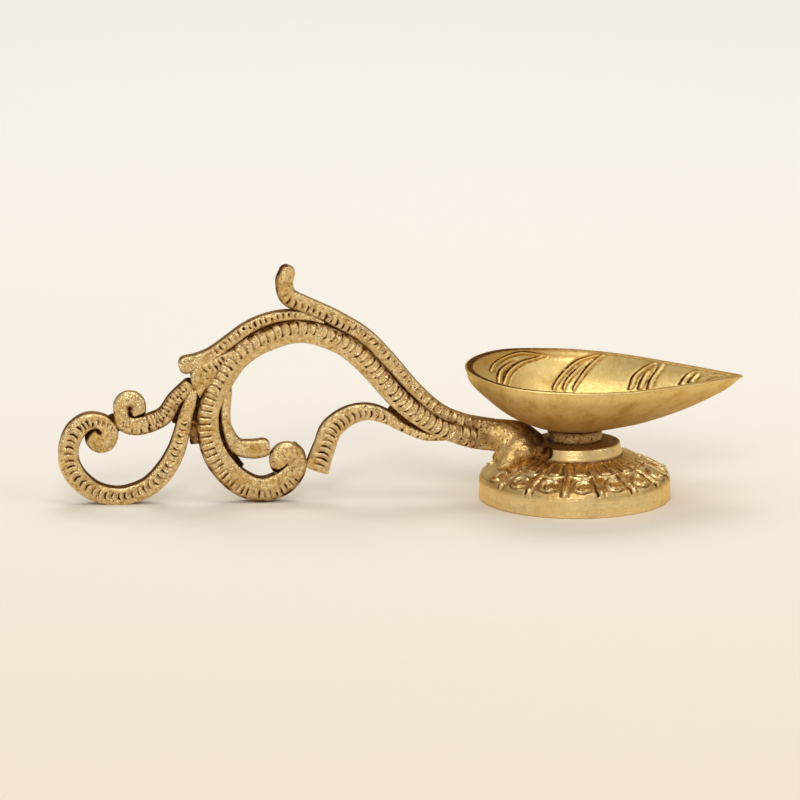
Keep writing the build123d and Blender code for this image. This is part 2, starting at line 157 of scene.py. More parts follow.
class Mould:
    """Makes one mesh piece of the lamp, with its hollows and painted shade and its rubbed edges and painted
    highlights marked.
    """

    def __init__(self, name: str) -> None:
        """Start an empty piece of this name."""
        self.name = name
        self.take(bmesh.new())

    def take(self, bm: bmesh.types.BMesh) -> None:
        """Work on this mesh, with a layer for its hollows and painted shade and one for its wear and painted
        highlights.
        """
        layers = bm.verts.layers.float
        self.bm = bm
        self.recess_and_shade = layers.get("recess_and_shade") or layers.new("recess_and_shade")
        self.wear_and_glint = layers.get("wear_and_glint") or layers.new("wear_and_glint")

    def put(self, vert: bmesh.types.BMVert, spot: Spot) -> None:
        """Move a point to a spot in millimetres and mark its hollow and painted shade and its wear and
        painted highlight.
        """
        vert.co = spot[0] * MM
        vert[self.recess_and_shade], vert[self.wear_and_glint] = spot[1:]

    def sheet(self, rows: int, columns: int, place: Callable[[int, int], Spot]) -> None:
        """Wrap a grid into a closed skin.

        Args:
            rows: Rings along the skin.
            columns: Places round each ring.
            place: Gives the spot of a row and a column.
        """
        bmesh.ops.create_grid(self.bm, x_segments=columns, y_segments=rows - 1, size=1.0)
        self.bm.verts.ensure_lookup_table()
        for index, vert in enumerate(self.bm.verts):
            row, column = divmod(index, columns + 1)
            self.put(vert, place(row, column % columns))
        bmesh.ops.remove_doubles(self.bm, verts=self.bm.verts, dist=MERGE)
        bmesh.ops.holes_fill(self.bm, edges=self.bm.edges, sides=0)

    def turned(self, profile: list[tuple[float, float]], steps: int, centre: Vector = Vector(),
               axis: Vector = Vector((0.0, 0.0, 1.0)), closed: bool = True) -> None:
        """Turn a profile once round an axis.

        Args:
            profile: Points as (distance along +X, height along the axis), from the centre.
            steps: Facets round the turn.
            centre: A point of the axis.
            axis: The axis, square to X.
            closed: Whether the profile's last point joins its first.
        """
        outwards = Vector((1.0, 0.0, 0.0))
        verts = [self.bm.verts.new((centre + outwards * r + axis * h) * MM) for r, h in profile]
        pairs = list(zip(verts, verts[1:] + verts[:1] if closed else verts[1:]))
        edges = [self.bm.edges.new(pair) for pair in pairs]
        bmesh.ops.spin(self.bm, geom=verts + edges, cent=centre * MM, axis=axis, dvec=(0.0, 0.0, 0.0),
                       angle=math.tau, steps=steps, use_merge=True)
        bmesh.ops.remove_doubles(self.bm, verts=self.bm.verts, dist=MERGE)

    def shape(self, move: Callable[[Vector], Spot]) -> None:
        """Move every point of the piece to the spot that move gives for it, in millimetres."""
        for vert in self.bm.verts:
            self.put(vert, move(vert.co / MM))

    def fuse(self, voxel: float, rounds: int) -> None:
        """Melt the piece's overlapping lumps into one smooth skin.

        Args:
            voxel: Size of the finest detail that is kept, in millimetres.
            rounds: How often the skin is smoothed.
        """
        mesh = bpy.data.meshes.new(self.name + "_lumps")
        self.bm.to_mesh(mesh)
        self.bm.free()
        lumps = bpy.data.objects.new(mesh.name, mesh)
        bpy.context.scene.collection.objects.link(lumps)
        melt = lumps.modifiers.new("melt", "REMESH")
        melt.mode = "VOXEL"
        melt.voxel_size = voxel * MM
        skin = bpy.data.meshes.new_from_object(lumps.evaluated_get(bpy.context.evaluated_depsgraph_get()))
        melted = bmesh.new()
        melted.from_mesh(skin)
        self.take(melted)
        bpy.data.objects.remove(lumps)
        bpy.data.meshes.remove(mesh)
        bpy.data.meshes.remove(skin)
        for _ in range(rounds):
            bmesh.ops.smooth_vert(self.bm, verts=self.bm.verts, factor=0.5, use_axis_x=True,
                                  use_axis_y=True, use_axis_z=True)

    def keep_inside(self) -> None:
        """Press points that stand out of the lamp's own box back to it."""
        for vert in self.bm.verts:
            vert.co = [min(max(at, low), high) for at, low, high in zip(vert.co, *CAD_BOX)]

    def cast(self, material: Material, slot: str, nodes: tuple[str, ...] = ()) -> Piece:
        """Finish the piece and hang it on the lamp.

        Args:
            material: The finish.
            slot: Not used.
            nodes: CAD nodes that the piece stands for.

        Returns:
            The new object.
        """
        self.keep_inside()
        bmesh.ops.recalc_face_normals(self.bm, faces=self.bm.faces)
        for face in self.bm.faces:
            face.smooth = True
        mesh = bpy.data.meshes.new(self.name)
        self.bm.to_mesh(mesh)
        self.bm.free()
        mesh.materials.append(material)
        piece = bpy.data.objects.new(self.name, mesh)
        bpy.context.scene.collection.objects.link(piece)
        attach(piece, BODY)
        if nodes:
            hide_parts(*nodes)
        LOG.info("%s: %d faces", self.name, len(mesh.polygons))
        return piece


class NodeBench:
    """Places and links the nodes of one tree."""

    def __init__(self, tree: bpy.types.NodeTree) -> None:
        """Work on this tree, cleared of its nodes."""
        self.tree = tree
        tree.nodes.clear()

    def add(self, kind: str, **settings: object) -> bpy.types.Node:
        """Place a node of a kind and set its properties."""
        node = self.tree.nodes.new(kind)
        for key, value in settings.items():
            setattr(node, key, value)
        return node

    def feed(self, target: Socket, value: object) -> None:
        """Give an input a link from a socket, a number or a colour."""
        if isinstance(value, Socket):
            self.tree.links.new(value, target)
        elif target.type == "RGBA":
            target.default_value = (*value, 1.0)
        else:
            target.default_value = value

    def place(self) -> Socket:
        """Give the place on the piece, in its own coordinates."""
        return self.add("ShaderNodeTexCoord").outputs["Object"]

    def sum(self, operation: str, first: object, second: object, clamp: bool = False) -> Socket:
        """Work out one value from two, each a socket or a number, with a Math node's operation."""
        node = self.add("ShaderNodeMath", operation=operation, use_clamp=clamp)
        self.feed(node.inputs[0], first)
        self.feed(node.inputs[1], second)
        return node.outputs[0]

    def spread(self, value: Socket, low: float, high: float, start: float = 0.0, stop: float = 1.0) -> Socket:
        """Map a value from low..high to start..stop, held at the ends."""
        node = self.add("ShaderNodeMapRange", clamp=True)
        for socket, given in zip(node.inputs, (value, low, high, start, stop)):
            self.feed(socket, given)
        return node.outputs[0]

    def blend(self, share: Socket, first: object, second: object) -> Socket:
        """Mix two colours, each a socket or a colour, with a share of the second."""
        node = self.add("ShaderNodeMix", data_type="RGBA")
        for index, given in ((0, share), (6, first), (7, second)):
            self.feed(node.inputs[index], given)
        return node.outputs[2]

    def cloud(self, vector: Socket, scale: object, detail: float, rough: float = 0.55) -> Socket:
        """Place a noise of a scale, a count of octaves and a strength of the finer ones."""
        node = self.add("ShaderNodeTexNoise")
        for name, given in (("Vector", vector), ("Scale", scale), ("Detail", detail), ("Roughness", rough)):
            self.feed(node.inputs[name], given)
        return node.outputs["Fac"]


class TarnishGroup:
    """Shared effect: brass that is bright where it is rubbed and where highlights are painted, and
    brown-black in its hollows and where shade is painted.
    """

    NAME = "cast_metal_tarnish"
    INPUTS = {"Vector": "Vector", "Recess And Shade": "Float", "Wear And Glint": "Float", "Bright": "Color", "Body": "Color",
              "Brown": "Color", "Dark": "Color", "Mottle Scale": "Float", "Grain Scale": "Float",
              "Grain Amount": "Float", "Pit Scale": "Float", "Pit Amount": "Float"}
    OUTPUTS = {"Colour": "Color", "Tarnish": "Float", "Mottle": "Float", "Height": "Float"}

    def __init__(self) -> None:
        """Build the node group once."""
        self.tree = bpy.data.node_groups.new(self.NAME, "ShaderNodeTree")
        for way, sockets in (("INPUT", self.INPUTS), ("OUTPUT", self.OUTPUTS)):
            for name, kind in sockets.items():
                self.tree.interface.new_socket(name=name, in_out=way, socket_type="NodeSocket" + kind)
        self.lay_nodes(NodeBench(self.tree))

    @staticmethod
    def lay_nodes(bench: NodeBench) -> None:
        """Place the group's nodes on a bench."""
        given = bench.add("NodeGroupInput").outputs
        result = bench.add("NodeGroupOutput").inputs
        broad = bench.cloud(given["Vector"], given["Mottle Scale"], 5.0, 0.62)
        fine = bench.cloud(given["Vector"], given["Grain Scale"], 4.0, 0.62)
        speck = bench.cloud(given["Vector"], given["Pit Scale"], 2.0, 0.5)
        mottle = bench.spread(broad, 0.34, 0.66)
        grain = bench.spread(fine, 0.36, 0.64)
        pits = bench.sum("MULTIPLY", bench.spread(speck, 0.60, 0.70), given["Pit Amount"])
        # The recess input holds patina in hollows and painted shade, the wear input real wear and painted
        # highlights; hollow, tarnish, rubbed and stained below carry both.
        hollow = bench.sum("MULTIPLY", given["Recess And Shade"], bench.spread(grain, 0.0, 1.0, 0.72, 1.18))
        low_grain = bench.sum("MULTIPLY", bench.spread(fine, 0.50, 0.36), given["Grain Amount"])
        stain = bench.sum("ADD", bench.sum("MULTIPLY", bench.spread(broad, 0.50, 0.72), 0.26),
                          bench.sum("MULTIPLY", low_grain, 0.34))
        dark = bench.sum("ADD", hollow, pits, clamp=True)
        tarnish = bench.sum("SUBTRACT", dark, bench.sum("MULTIPLY", given["Wear And Glint"], 0.45), clamp=True)
        change = bench.sum("MULTIPLY", bench.sum("SUBTRACT", grain, mottle), given["Grain Amount"])
        metal = bench.blend(bench.sum("ADD", mottle, change), given["Body"], given["Bright"])
        rubbed = bench.blend(bench.sum("MULTIPLY", given["Wear And Glint"], 0.9, clamp=True), metal, given["Bright"])
        browned = bench.sum("ADD", stain, bench.sum("MULTIPLY", tarnish, 1.25), clamp=True)
        stained = bench.blend(browned, rubbed, given["Brown"])
        height = bench.sum("SUBTRACT", bench.sum("MULTIPLY", grain, 0.45), pits)
        colour = bench.blend(bench.spread(tarnish, 0.50, 1.0), stained, given["Dark"])
        for name, value in (("Colour", colour), ("Tarnish", tarnish), ("Mottle", mottle), ("Height", height)):
            bench.feed(result[name], value)


@dataclass(frozen=True)
class MetalFinish:
    """Aged metal. Colours are linear; scales are counts per metre."""

    name: str
    bright: Colour = (1.0, 0.80, 0.44)
    body: Colour = (0.54, 0.30, 0.06)
    brown: Colour = (0.19, 0.057, 0.005)
    dark: Colour = (0.024, 0.008, 0.002)
    edge_tint: Colour = (0.98, 0.82, 0.55)
    gloss: float = 0.02
    polish: float = 0.28
    dull: float = 0.66
    mottle_scale: float = 160.0
    grain_scale: float = 800.0
    grain: float = 0.5
    pit_scale: float = 2100.0
    pits: float = 0.5
    relief: float = 0.00027
    brush: tuple[float, float, float] = (0.0, 0.0, 0.0)
    brush_relief: float = 0.0

    def material(self, tarnish: TarnishGroup) -> Material:
        """Make the finish's material.

        Args:
            tarnish: The shared tarnish effect.

        Returns:
            The material.
        """
        material = bpy.data.materials.new(self.name)
        material.use_nodes = True
        bench = NodeBench(material.node_tree)
        shader = bench.add("ShaderNodeBsdfPrincipled")
        bench.feed(bench.add("ShaderNodeOutputMaterial").inputs["Surface"], shader.outputs[0])
        place = bench.place()
        # Read the layer of hollows and painted shade and the layer of wear and painted highlights.
        hollow, wear_and_glint = (bench.add("ShaderNodeAttribute", attribute_name=name).outputs["Fac"]
                        for name in ("recess_and_shade", "wear_and_glint"))
        effect = bench.add("ShaderNodeGroup", node_tree=tarnish.tree)
        given = {"Vector": place, "Recess And Shade": hollow, "Wear And Glint": wear_and_glint, "Bright": self.bright, "Body": self.body,
                 "Brown": self.brown, "Dark": self.dark, "Mottle Scale": self.mottle_scale,
                 "Grain Scale": self.grain_scale, "Grain Amount": self.grain, "Pit Scale": self.pit_scale,
                 "Pit Amount": self.pits}
        for name, value in given.items():
            bench.feed(effect.inputs[name], value)
        made = effect.outputs
        rough = bench.sum("ADD", bench.spread(made["Tarnish"], 0.0, 0.8, self.polish, self.dull),
                          bench.spread(made["Mottle"], 0.0, 1.0, 0.06, -0.05))
        height = made["Height"]
        if self.brush_relief:
            mapping = bench.add("ShaderNodeMapping")
            mapping.inputs["Scale"].default_value = self.brush
            bench.feed(mapping.inputs["Vector"], place)
            lines = bench.cloud(mapping.outputs["Vector"], 1.0, 3.0, 0.6)
            height = bench.sum("ADD", height, bench.sum("MULTIPLY", lines, self.brush_relief))
            rough = bench.sum("ADD", rough, bench.spread(lines, 0.3, 0.7, -0.05, 0.10))
        bump = bench.add("ShaderNodeBump")
        bump.inputs["Strength"].default_value = 1.0
        bump.inputs["Distance"].default_value = self.relief
        bench.feed(bump.inputs["Height"], height)
        metal = {"Base Color": made["Colour"],
                 "Specular IOR Level": self.gloss,
                 "Specular Tint": self.edge_tint,
                 "Metallic": bench.spread(made["Tarnish"], 0.25, 1.0, 1.0, 0.25),
                 "Roughness": bench.sum("SUBTRACT", rough, bench.sum("MULTIPLY", wear_and_glint, 0.08), clamp=True),
                 "Normal": bump.outputs["Normal"]}
        for name, value in metal.items():
            bench.feed(shader.inputs[name], value)
        return material


@dataclass(frozen=True)
class Stretch:
    """One dressed stretch of a strand's faces, between two distances from the strand's start.

    The marks lie between low and high, from -1 at the right edge to 1 at the left edge. The bow is the
    share of a pitch by which a mark's ends lie beyond its middle.
    """

    start: float
    stop: float
    mark: Mark
    pitch: float
    bow: float
    low: float
    high: float
    high_stop: float
    depth: float


@dataclass(frozen=True)
class Strand:
    """One strand of the handle, with its centreline as (reach, height, width).

    Caps round its ends off. Painted shade darkens its sides, and painted crease shade darkens its faces'
    edges where a neighbouring strand meets them, left and right. Lumps roughen it and soot blackens it all
    over.
    """

    name: str
    knots: tuple[Knot, ...]
    thickness: float
    stretches: tuple[Stretch, ...] = ()
    start_cap: float = 0.0
    stop_cap: float = 0.0
    shade_left: float = 0.6
    shade_right: float = 0.6
    edge: float = 0.55
    crown: float = 0.16
    lumps: float = 0.05
    soot: float = 0.0
    crease_shade_left: float = 0.0
    crease_shade_right: float = 0.0


class Place(NamedTuple):
    """A place on a strand's section: share of the flat, turn of the corner, face and level on a side."""

    flat: float
    corner: float
    face: int
    level: float


class Station(NamedTuple):
    """A station of a strand: its point, tangent, half width and distance from the start."""

    point: Vector
    tangent: Vector
    half: float
    distance: float


class Ball(NamedTuple):
    """The flat ball at a curl's end, with the groove that winds into it as (reach, height, width)."""

    name: str
    reach: float
    height: float
    diameter: float
    thickness: float
    groove: tuple[Knot, ...]


@dataclass
class ScrollHandle:
    """The openwork handle: strands, leaves and curls that lie in the plane Y = 0."""

    reach_start: float = -24.85
    height_start: float = 11.6
    spacing: float = 0.16
    quick_spacing: float = 0.48
    face_points: int = 19
    side_points: int = 3
    corner_turns: tuple[float, ...] = (22.0, 45.0, 68.0)
    cap_steps: int = 14
    cap_turn: float = 6.3
    burn: float = 0.52
    burn_start: float = -42.0
    burn_stop: float = -28.0
    ball_rows: int = 40
    ball_facets: int = 150
    groove_depth: float = 1.15
    strands: list[Strand] = field(default_factory=list)
    balls: tuple[Ball, ...] = (
        Ball("handle_stem_ball", 49.9, -0.6, 9.3, 5.4, (
            (53.8, -3.0, 1.0), (51.8, -3.2, 0.9), (49.9, -1.9, 0.7))),
        Ball("handle_small_ball", 90.4, 13.8, 8.6, 4.8, (
            (86.3, 12.1, 0.9), (87.8, 11.6, 0.9), (89.4, 11.2, 0.9), (90.4, 12.4, 0.8), (90.4, 13.8, 0.7))),
        Ball("handle_big_ball", 97.8, 6.3, 8.6, 5.1, (
            (102.6, 4.3, 1.2), (101.8, 6.4, 1.2), (100.5, 7.9, 1.0), (99.2, 8.4, 0.9), (98.1, 7.4, 0.7))),
    )

    def placed(self, reach: float, height: float) -> Vector:
        """Give a point of the handle in the lamp's frame."""
        return Vector((self.reach_start - reach, 0.0, self.height_start + height))

    @staticmethod
    def drawn(knots: tuple[Knot, ...], steps: int = 24) -> list[Vector]:
        """Draw a line of the handle as points (reach, height, half width)."""
        points = [Vector((reach, height, width / 2.0)) for reach, height, width in knots]
        return run_through(points, steps=steps)

    def stations(self, strand: Strand) -> list[Station]:
        """Walk along a strand from end to end, with its rounded ends."""
        walked = even_steps(self.drawn(strand.knots), self.spacing)
        points = [self.placed(place.x, place.y) for _, place in walked]
        tangents = [(ahead - behind).normalized()
                    for ahead, behind in zip(points[1:] + points[-1:], points[:1] + points)]
        result = [Station(point, tangent, place.z, distance)
                  for point, tangent, (distance, place) in zip(points, tangents, walked)]
        if strand.start_cap:
            result = self.round_end(result[0], -strand.start_cap)[::-1] + result
        if strand.stop_cap:
            result += self.round_end(result[-1], strand.stop_cap)
        return result

    def round_end(self, station: Station, length: float) -> list[Station]:
        """Close a strand with narrowing stations over a length, which is negative at its start."""
        added = []
        for step in range(1, self.cap_steps + 1):
            angle = math.radians(step * self.cap_turn)
            ahead = length * math.sin(angle)
            half = station.half * math.cos(angle) ** 0.75
            added.append(Station(station.point + station.tangent * ahead, station.tangent, half,
                                 station.distance + ahead))
        return added

    @staticmethod
    def marked(stretch: Stretch, salt: float, distance: float, across: float) -> tuple[float, float, float]:
        """Work out the chisel's marks at one place of a stretch.

        Args:
            stretch: The stretch.
            salt: A number that sets the strand's own unevenness.
            distance: Along the strand from its start.
            across: From -1 at the right edge to 1 at the left edge.

        Returns:
            The height added to the face, the hollow, and the wear with the painted highlight beside each
            mark.
        """
        share = min(max((distance - stretch.start) / (stretch.stop - stretch.start), 0.0), 1.0)
        high = stretch.high + (stretch.high_stop - stretch.high) * share
        place = (2.0 * across - high - stretch.low) / (high - stretch.low)
        inside = eased(1.08, 0.92, abs(place))
        inside *= between((stretch.start - 0.4, stretch.start + 0.6, stretch.stop - 0.6, stretch.stop + 0.4),
                          distance)
        if inside <= 0.0:
            return 0.0, 0.0, 0.0
        wobble = 0.32 * ripple(Vector((distance * 0.45, salt, across * 0.4)))
        turn = (distance + wobble) / stretch.pitch - stretch.bow * place * place
        index = round(turn)
        offset = (turn - index) * stretch.pitch
        chance = ripple(Vector((index * 3.71, salt, math.copysign(0.9, place))))
        lively = min(max(0.85 + 0.9 * chance, 0.3), 1.3)
        # Each mark's bright strip below is a painted highlight on the lit side of its cut, handed back as
        # wear.
        if stretch.mark is Mark.RIBS:
            notch = hump(offset, 0.19 + 0.30 * abs(place) ** 3)
            cut = stretch.depth * notch * (0.6 + 0.7 * place * place) * lively
            height = 0.19 * (1.0 - (2.0 * offset / stretch.pitch) ** 2) - cut
            dark = max(notch * (0.6 + 0.75 * place * place) * lively, 0.30 * hump(offset, 0.60))
            painted_glint = max(0.25 * (1.0 - notch), 0.9 * hump(offset - 0.45, 0.20) * (1.0 - notch))
        elif stretch.mark is Mark.BARS:
            groove = hump(offset + 0.27, 0.17) * lively
            painted_glint = hump(offset - 0.14, 0.24)
            hole = hump(offset + 0.2, 0.24) * hump(place - 0.72, 0.22)
            height = 0.20 * painted_glint - stretch.depth * max(groove, hole)
            dark = max(groove, 1.2 * hole)
        elif stretch.mark is Mark.CRESCENTS:
            inside *= eased(1.0, 0.5, abs(place))
            gouge = hump(offset, 0.13 if offset < 0.0 else 0.40)
            lip = hump(offset + 0.33, 0.18)
            height = 0.10 * lip - stretch.depth * gouge * lively
            dark = max(hump(offset, 0.23) * lively * 1.15, 0.25 * hump(offset, 0.6))
            painted_glint = lip * 0.9
        else:
            inside *= eased(1.0, 0.35, abs(place)) * min(max(0.7 + 1.5 * chance, 0.12), 1.25)
            tick = hump(offset, 0.23)
            height = -stretch.depth * tick
            dark = max(1.2 * tick, 0.25 * hump(offset, 0.55))
            painted_glint = 0.6 * hump(offset - 0.5, 0.2)
        return inside * height, inside * dark, inside * painted_glint

    def face_cut(self, strand: Strand, distance: float, across: float) -> tuple[float, float, float]:
        """Add up the marks of all stretches at a place on a strand's face, as marked() gives them."""
        height, recess_and_shade, wear_and_glint = 0.0, 0.0, 0.0
        for stretch in strand.stretches:
            if stretch.start - 0.4 < distance < stretch.stop + 0.4:
                added, hollow, rubbed = self.marked(stretch, len(strand.name) * 1.37, distance, across)
                height += added
                recess_and_shade = max(recess_and_shade, hollow)
                wear_and_glint = max(wear_and_glint, rubbed)
        return height, recess_and_shade, wear_and_glint

    def section_places(self) -> list[Place]:
        """Give the places round a strand's section, once round from the front's right edge."""
        turns = [math.radians(turn) for turn in self.corner_turns]
        flats = [-1.0] + steps_to(-1.0, 1.0, self.face_points - 1)
        levels = [-1.0] + steps_to(-1.0, 1.0, self.side_points - 1)
        front = [Place(-1.0, turn, -1, -1.0) for turn in reversed(turns)]
        front += [Place(flat, 0.0, -1, -1.0) for flat in flats]
        front += [Place(1.0, turn, -1, -1.0) for turn in turns]
        rise = [Place(1.0, 0.0, 0, level) for level in levels]
        back = [Place(spot.flat, spot.corner, 1, 1.0) for spot in reversed(front)]
        fall = [Place(-1.0, 0.0, 0, -level) for level in levels]
        return front + rise + back + fall

    def skin_spot(self, strand: Strand, station: Station, spot: Place) -> Spot:
        """Place one point of a strand's skin.

        Args:
            strand: The strand.
            station: The section's station.
            spot: The place on the section.

        Returns:
            The point with its hollow and painted shade, and its wear and painted highlight.
        """
        point, tangent, half, distance = station
        side = Vector((-tangent.z, 0.0, tangent.x))
        depth = strand.thickness / 2.0
        edge = min(strand.edge, 0.42 * half, 0.4 * depth)
        turned = math.sin(spot.corner)
        flank = half - edge + edge * turned if spot.face else half
        across = spot.flat * flank / half if half > 1e-6 else spot.flat
        grain = point * 0.9 + Vector((0.0, spot.face * 3.1 + spot.level, across * half * 0.9))
        rough = strand.lumps * (ripple(grain, 0.5) + 0.7 * ripple(grain, 1.7))
        # Painted shade: the sides, and the far end of each corner, are darkened by these amounts.
        shade = strand.shade_left if spot.flat > 0.0 else strand.shade_right
        soot = strand.soot * (1.0 + 1.3 * (1.0 - strand.soot) * ripple(grain, 0.9))
        place = point + side * (spot.flat * flank * (1.0 + 0.25 * rough))
        if not spot.face:
            return place + Vector((0.0, spot.level * (depth - edge), 0.0)), max(shade, soot), 0.0
        height, recess_and_shade, wear_and_glint = self.face_cut(strand, distance, across)
        out = depth - edge * (1.0 - math.cos(spot.corner)) - strand.crown * across * across
        out += (height + rough) * (1.0 - 0.5 * turned)
        burn = self.burn * eased(self.burn_start, self.burn_stop, point.x)
        burn *= eased(-0.35, 0.3, ripple(grain, 0.4))
        # Painted shade along the face's edge where it meets a neighbouring strand.
        stain = strand.crease_shade_left if across > 0.0 else strand.crease_shade_right
        stain *= eased(0.50, 0.95, abs(across)) * (0.8 + 0.7 * ripple(grain, 0.8))
        recess_and_shade = max(recess_and_shade * (1.0 - 0.3 * turned), shade * turned ** 7, soot, burn, stain)
        # The face's edges are brightened partly as wear and partly as a painted highlight on the bevels.
        rubbed = eased(0.80, 0.96, abs(across)) * (0.75 + 0.5 * ripple(grain, 0.35))
        wear_and_glint = max(wear_and_glint, rubbed * (1.0 - recess_and_shade)) * (1.0 - strand.soot) * (1.0 - burn)
        wear_and_glint *= max(1.0 - 1.3 * stain, 0.0)
        return place + Vector((0.0, out * spot.face, 0.0)), recess_and_shade, wear_and_glint

    def strand_piece(self, strand: Strand, material: Material) -> Piece:
        """Build one strand in its finish."""
        stations = self.stations(strand)
        around = self.section_places()

        def place(row: int, column: int) -> Spot:
            """Place a point of the strand's skin."""
            return self.skin_spot(strand, stations[row], around[column])

        mould = Mould(strand.name)
        mould.sheet(len(stations), len(around), place)
        return mould.cast(material, "cast_brass")

    def ball_piece(self, ball: Ball, material: Material) -> Piece:
        """Build the flat ball at a curl's end, wound by its groove.

        Args:
            ball: The ball.
            material: Its finish.

        Returns:
            The ball's object.
        """
        centre = self.placed(ball.reach, ball.height)
        radius, depth = ball.diameter / 2.0, ball.thickness / 2.0
        profile = [(0.0, -depth)]
        for angle in steps_to(-math.pi / 2.0, math.pi / 2.0, self.ball_rows)[:-1]:
            bulge = math.copysign(abs(math.sin(angle)) ** 0.42, angle)
            profile.append((radius * math.cos(angle) ** 0.48, depth * bulge))
        mould = Mould(ball.name)
        sideways = Vector((0.0, 1.0, 0.0))
        mould.turned(profile + [(0.0, depth)], self.ball_facets, centre, sideways, closed=False)
        groove = [(self.placed(knot.x, knot.y), knot.z) for knot in self.drawn(ball.groove, 8)]

        def move(point: Vector) -> Spot:
            """Cut the groove, roughen the casting, paint shade on the ball's side and brighten its rim with
            wear and painted highlight.
            """
            flat = Vector((point.x, 0.0, point.z))
            high = abs(point.y) / depth
            cut = eased(0.30, -0.30, min((flat - spot).length - half for spot, half in groove))
            face = eased(0.35, 0.85, high)
            share = (flat - centre).length / radius
            turn = math.atan2(point.z - centre.z, point.x - centre.x)
            ray = max(math.sin(turn * 26.0 + 2.5 * ripple(point, 0.3)), 0.0) ** 6 * eased(0.45, 0.75, share)
            skin = 0.10 * ripple(point, 0.45) + 0.06 * ripple(point, 1.6) - 0.12
            sunk = (self.groove_depth * cut - skin + 0.08 * ray) * face
            pressed = point - Vector((0.0, math.copysign(sunk, point.y), 0.0))
            # The rim's brightening is partly wear and partly painted highlight; edge is painted shade on the
            # ball's side.
            rim = between((0.80, 0.93, 0.97, 1.02), share)
            edge = 0.6 * eased(0.5, 0.2, high) * eased(0.9, 0.98, share)
            return pressed, max(1.1 * cut * face, 0.35 * ray * face, edge), 0.8 * rim * face * (1.0 - cut)

        mould.shape(move)
        return mould.cast(material, "cast_brass")

    def build(self, brass: Material) -> None:
        """Build the strands, webs and balls in their finish."""
        pieces = [self.strand_piece(strand, brass) for strand in self.strands]
        for ball in self.balls:
            self.ball_piece(ball, brass)
        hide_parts("scroll_handle")


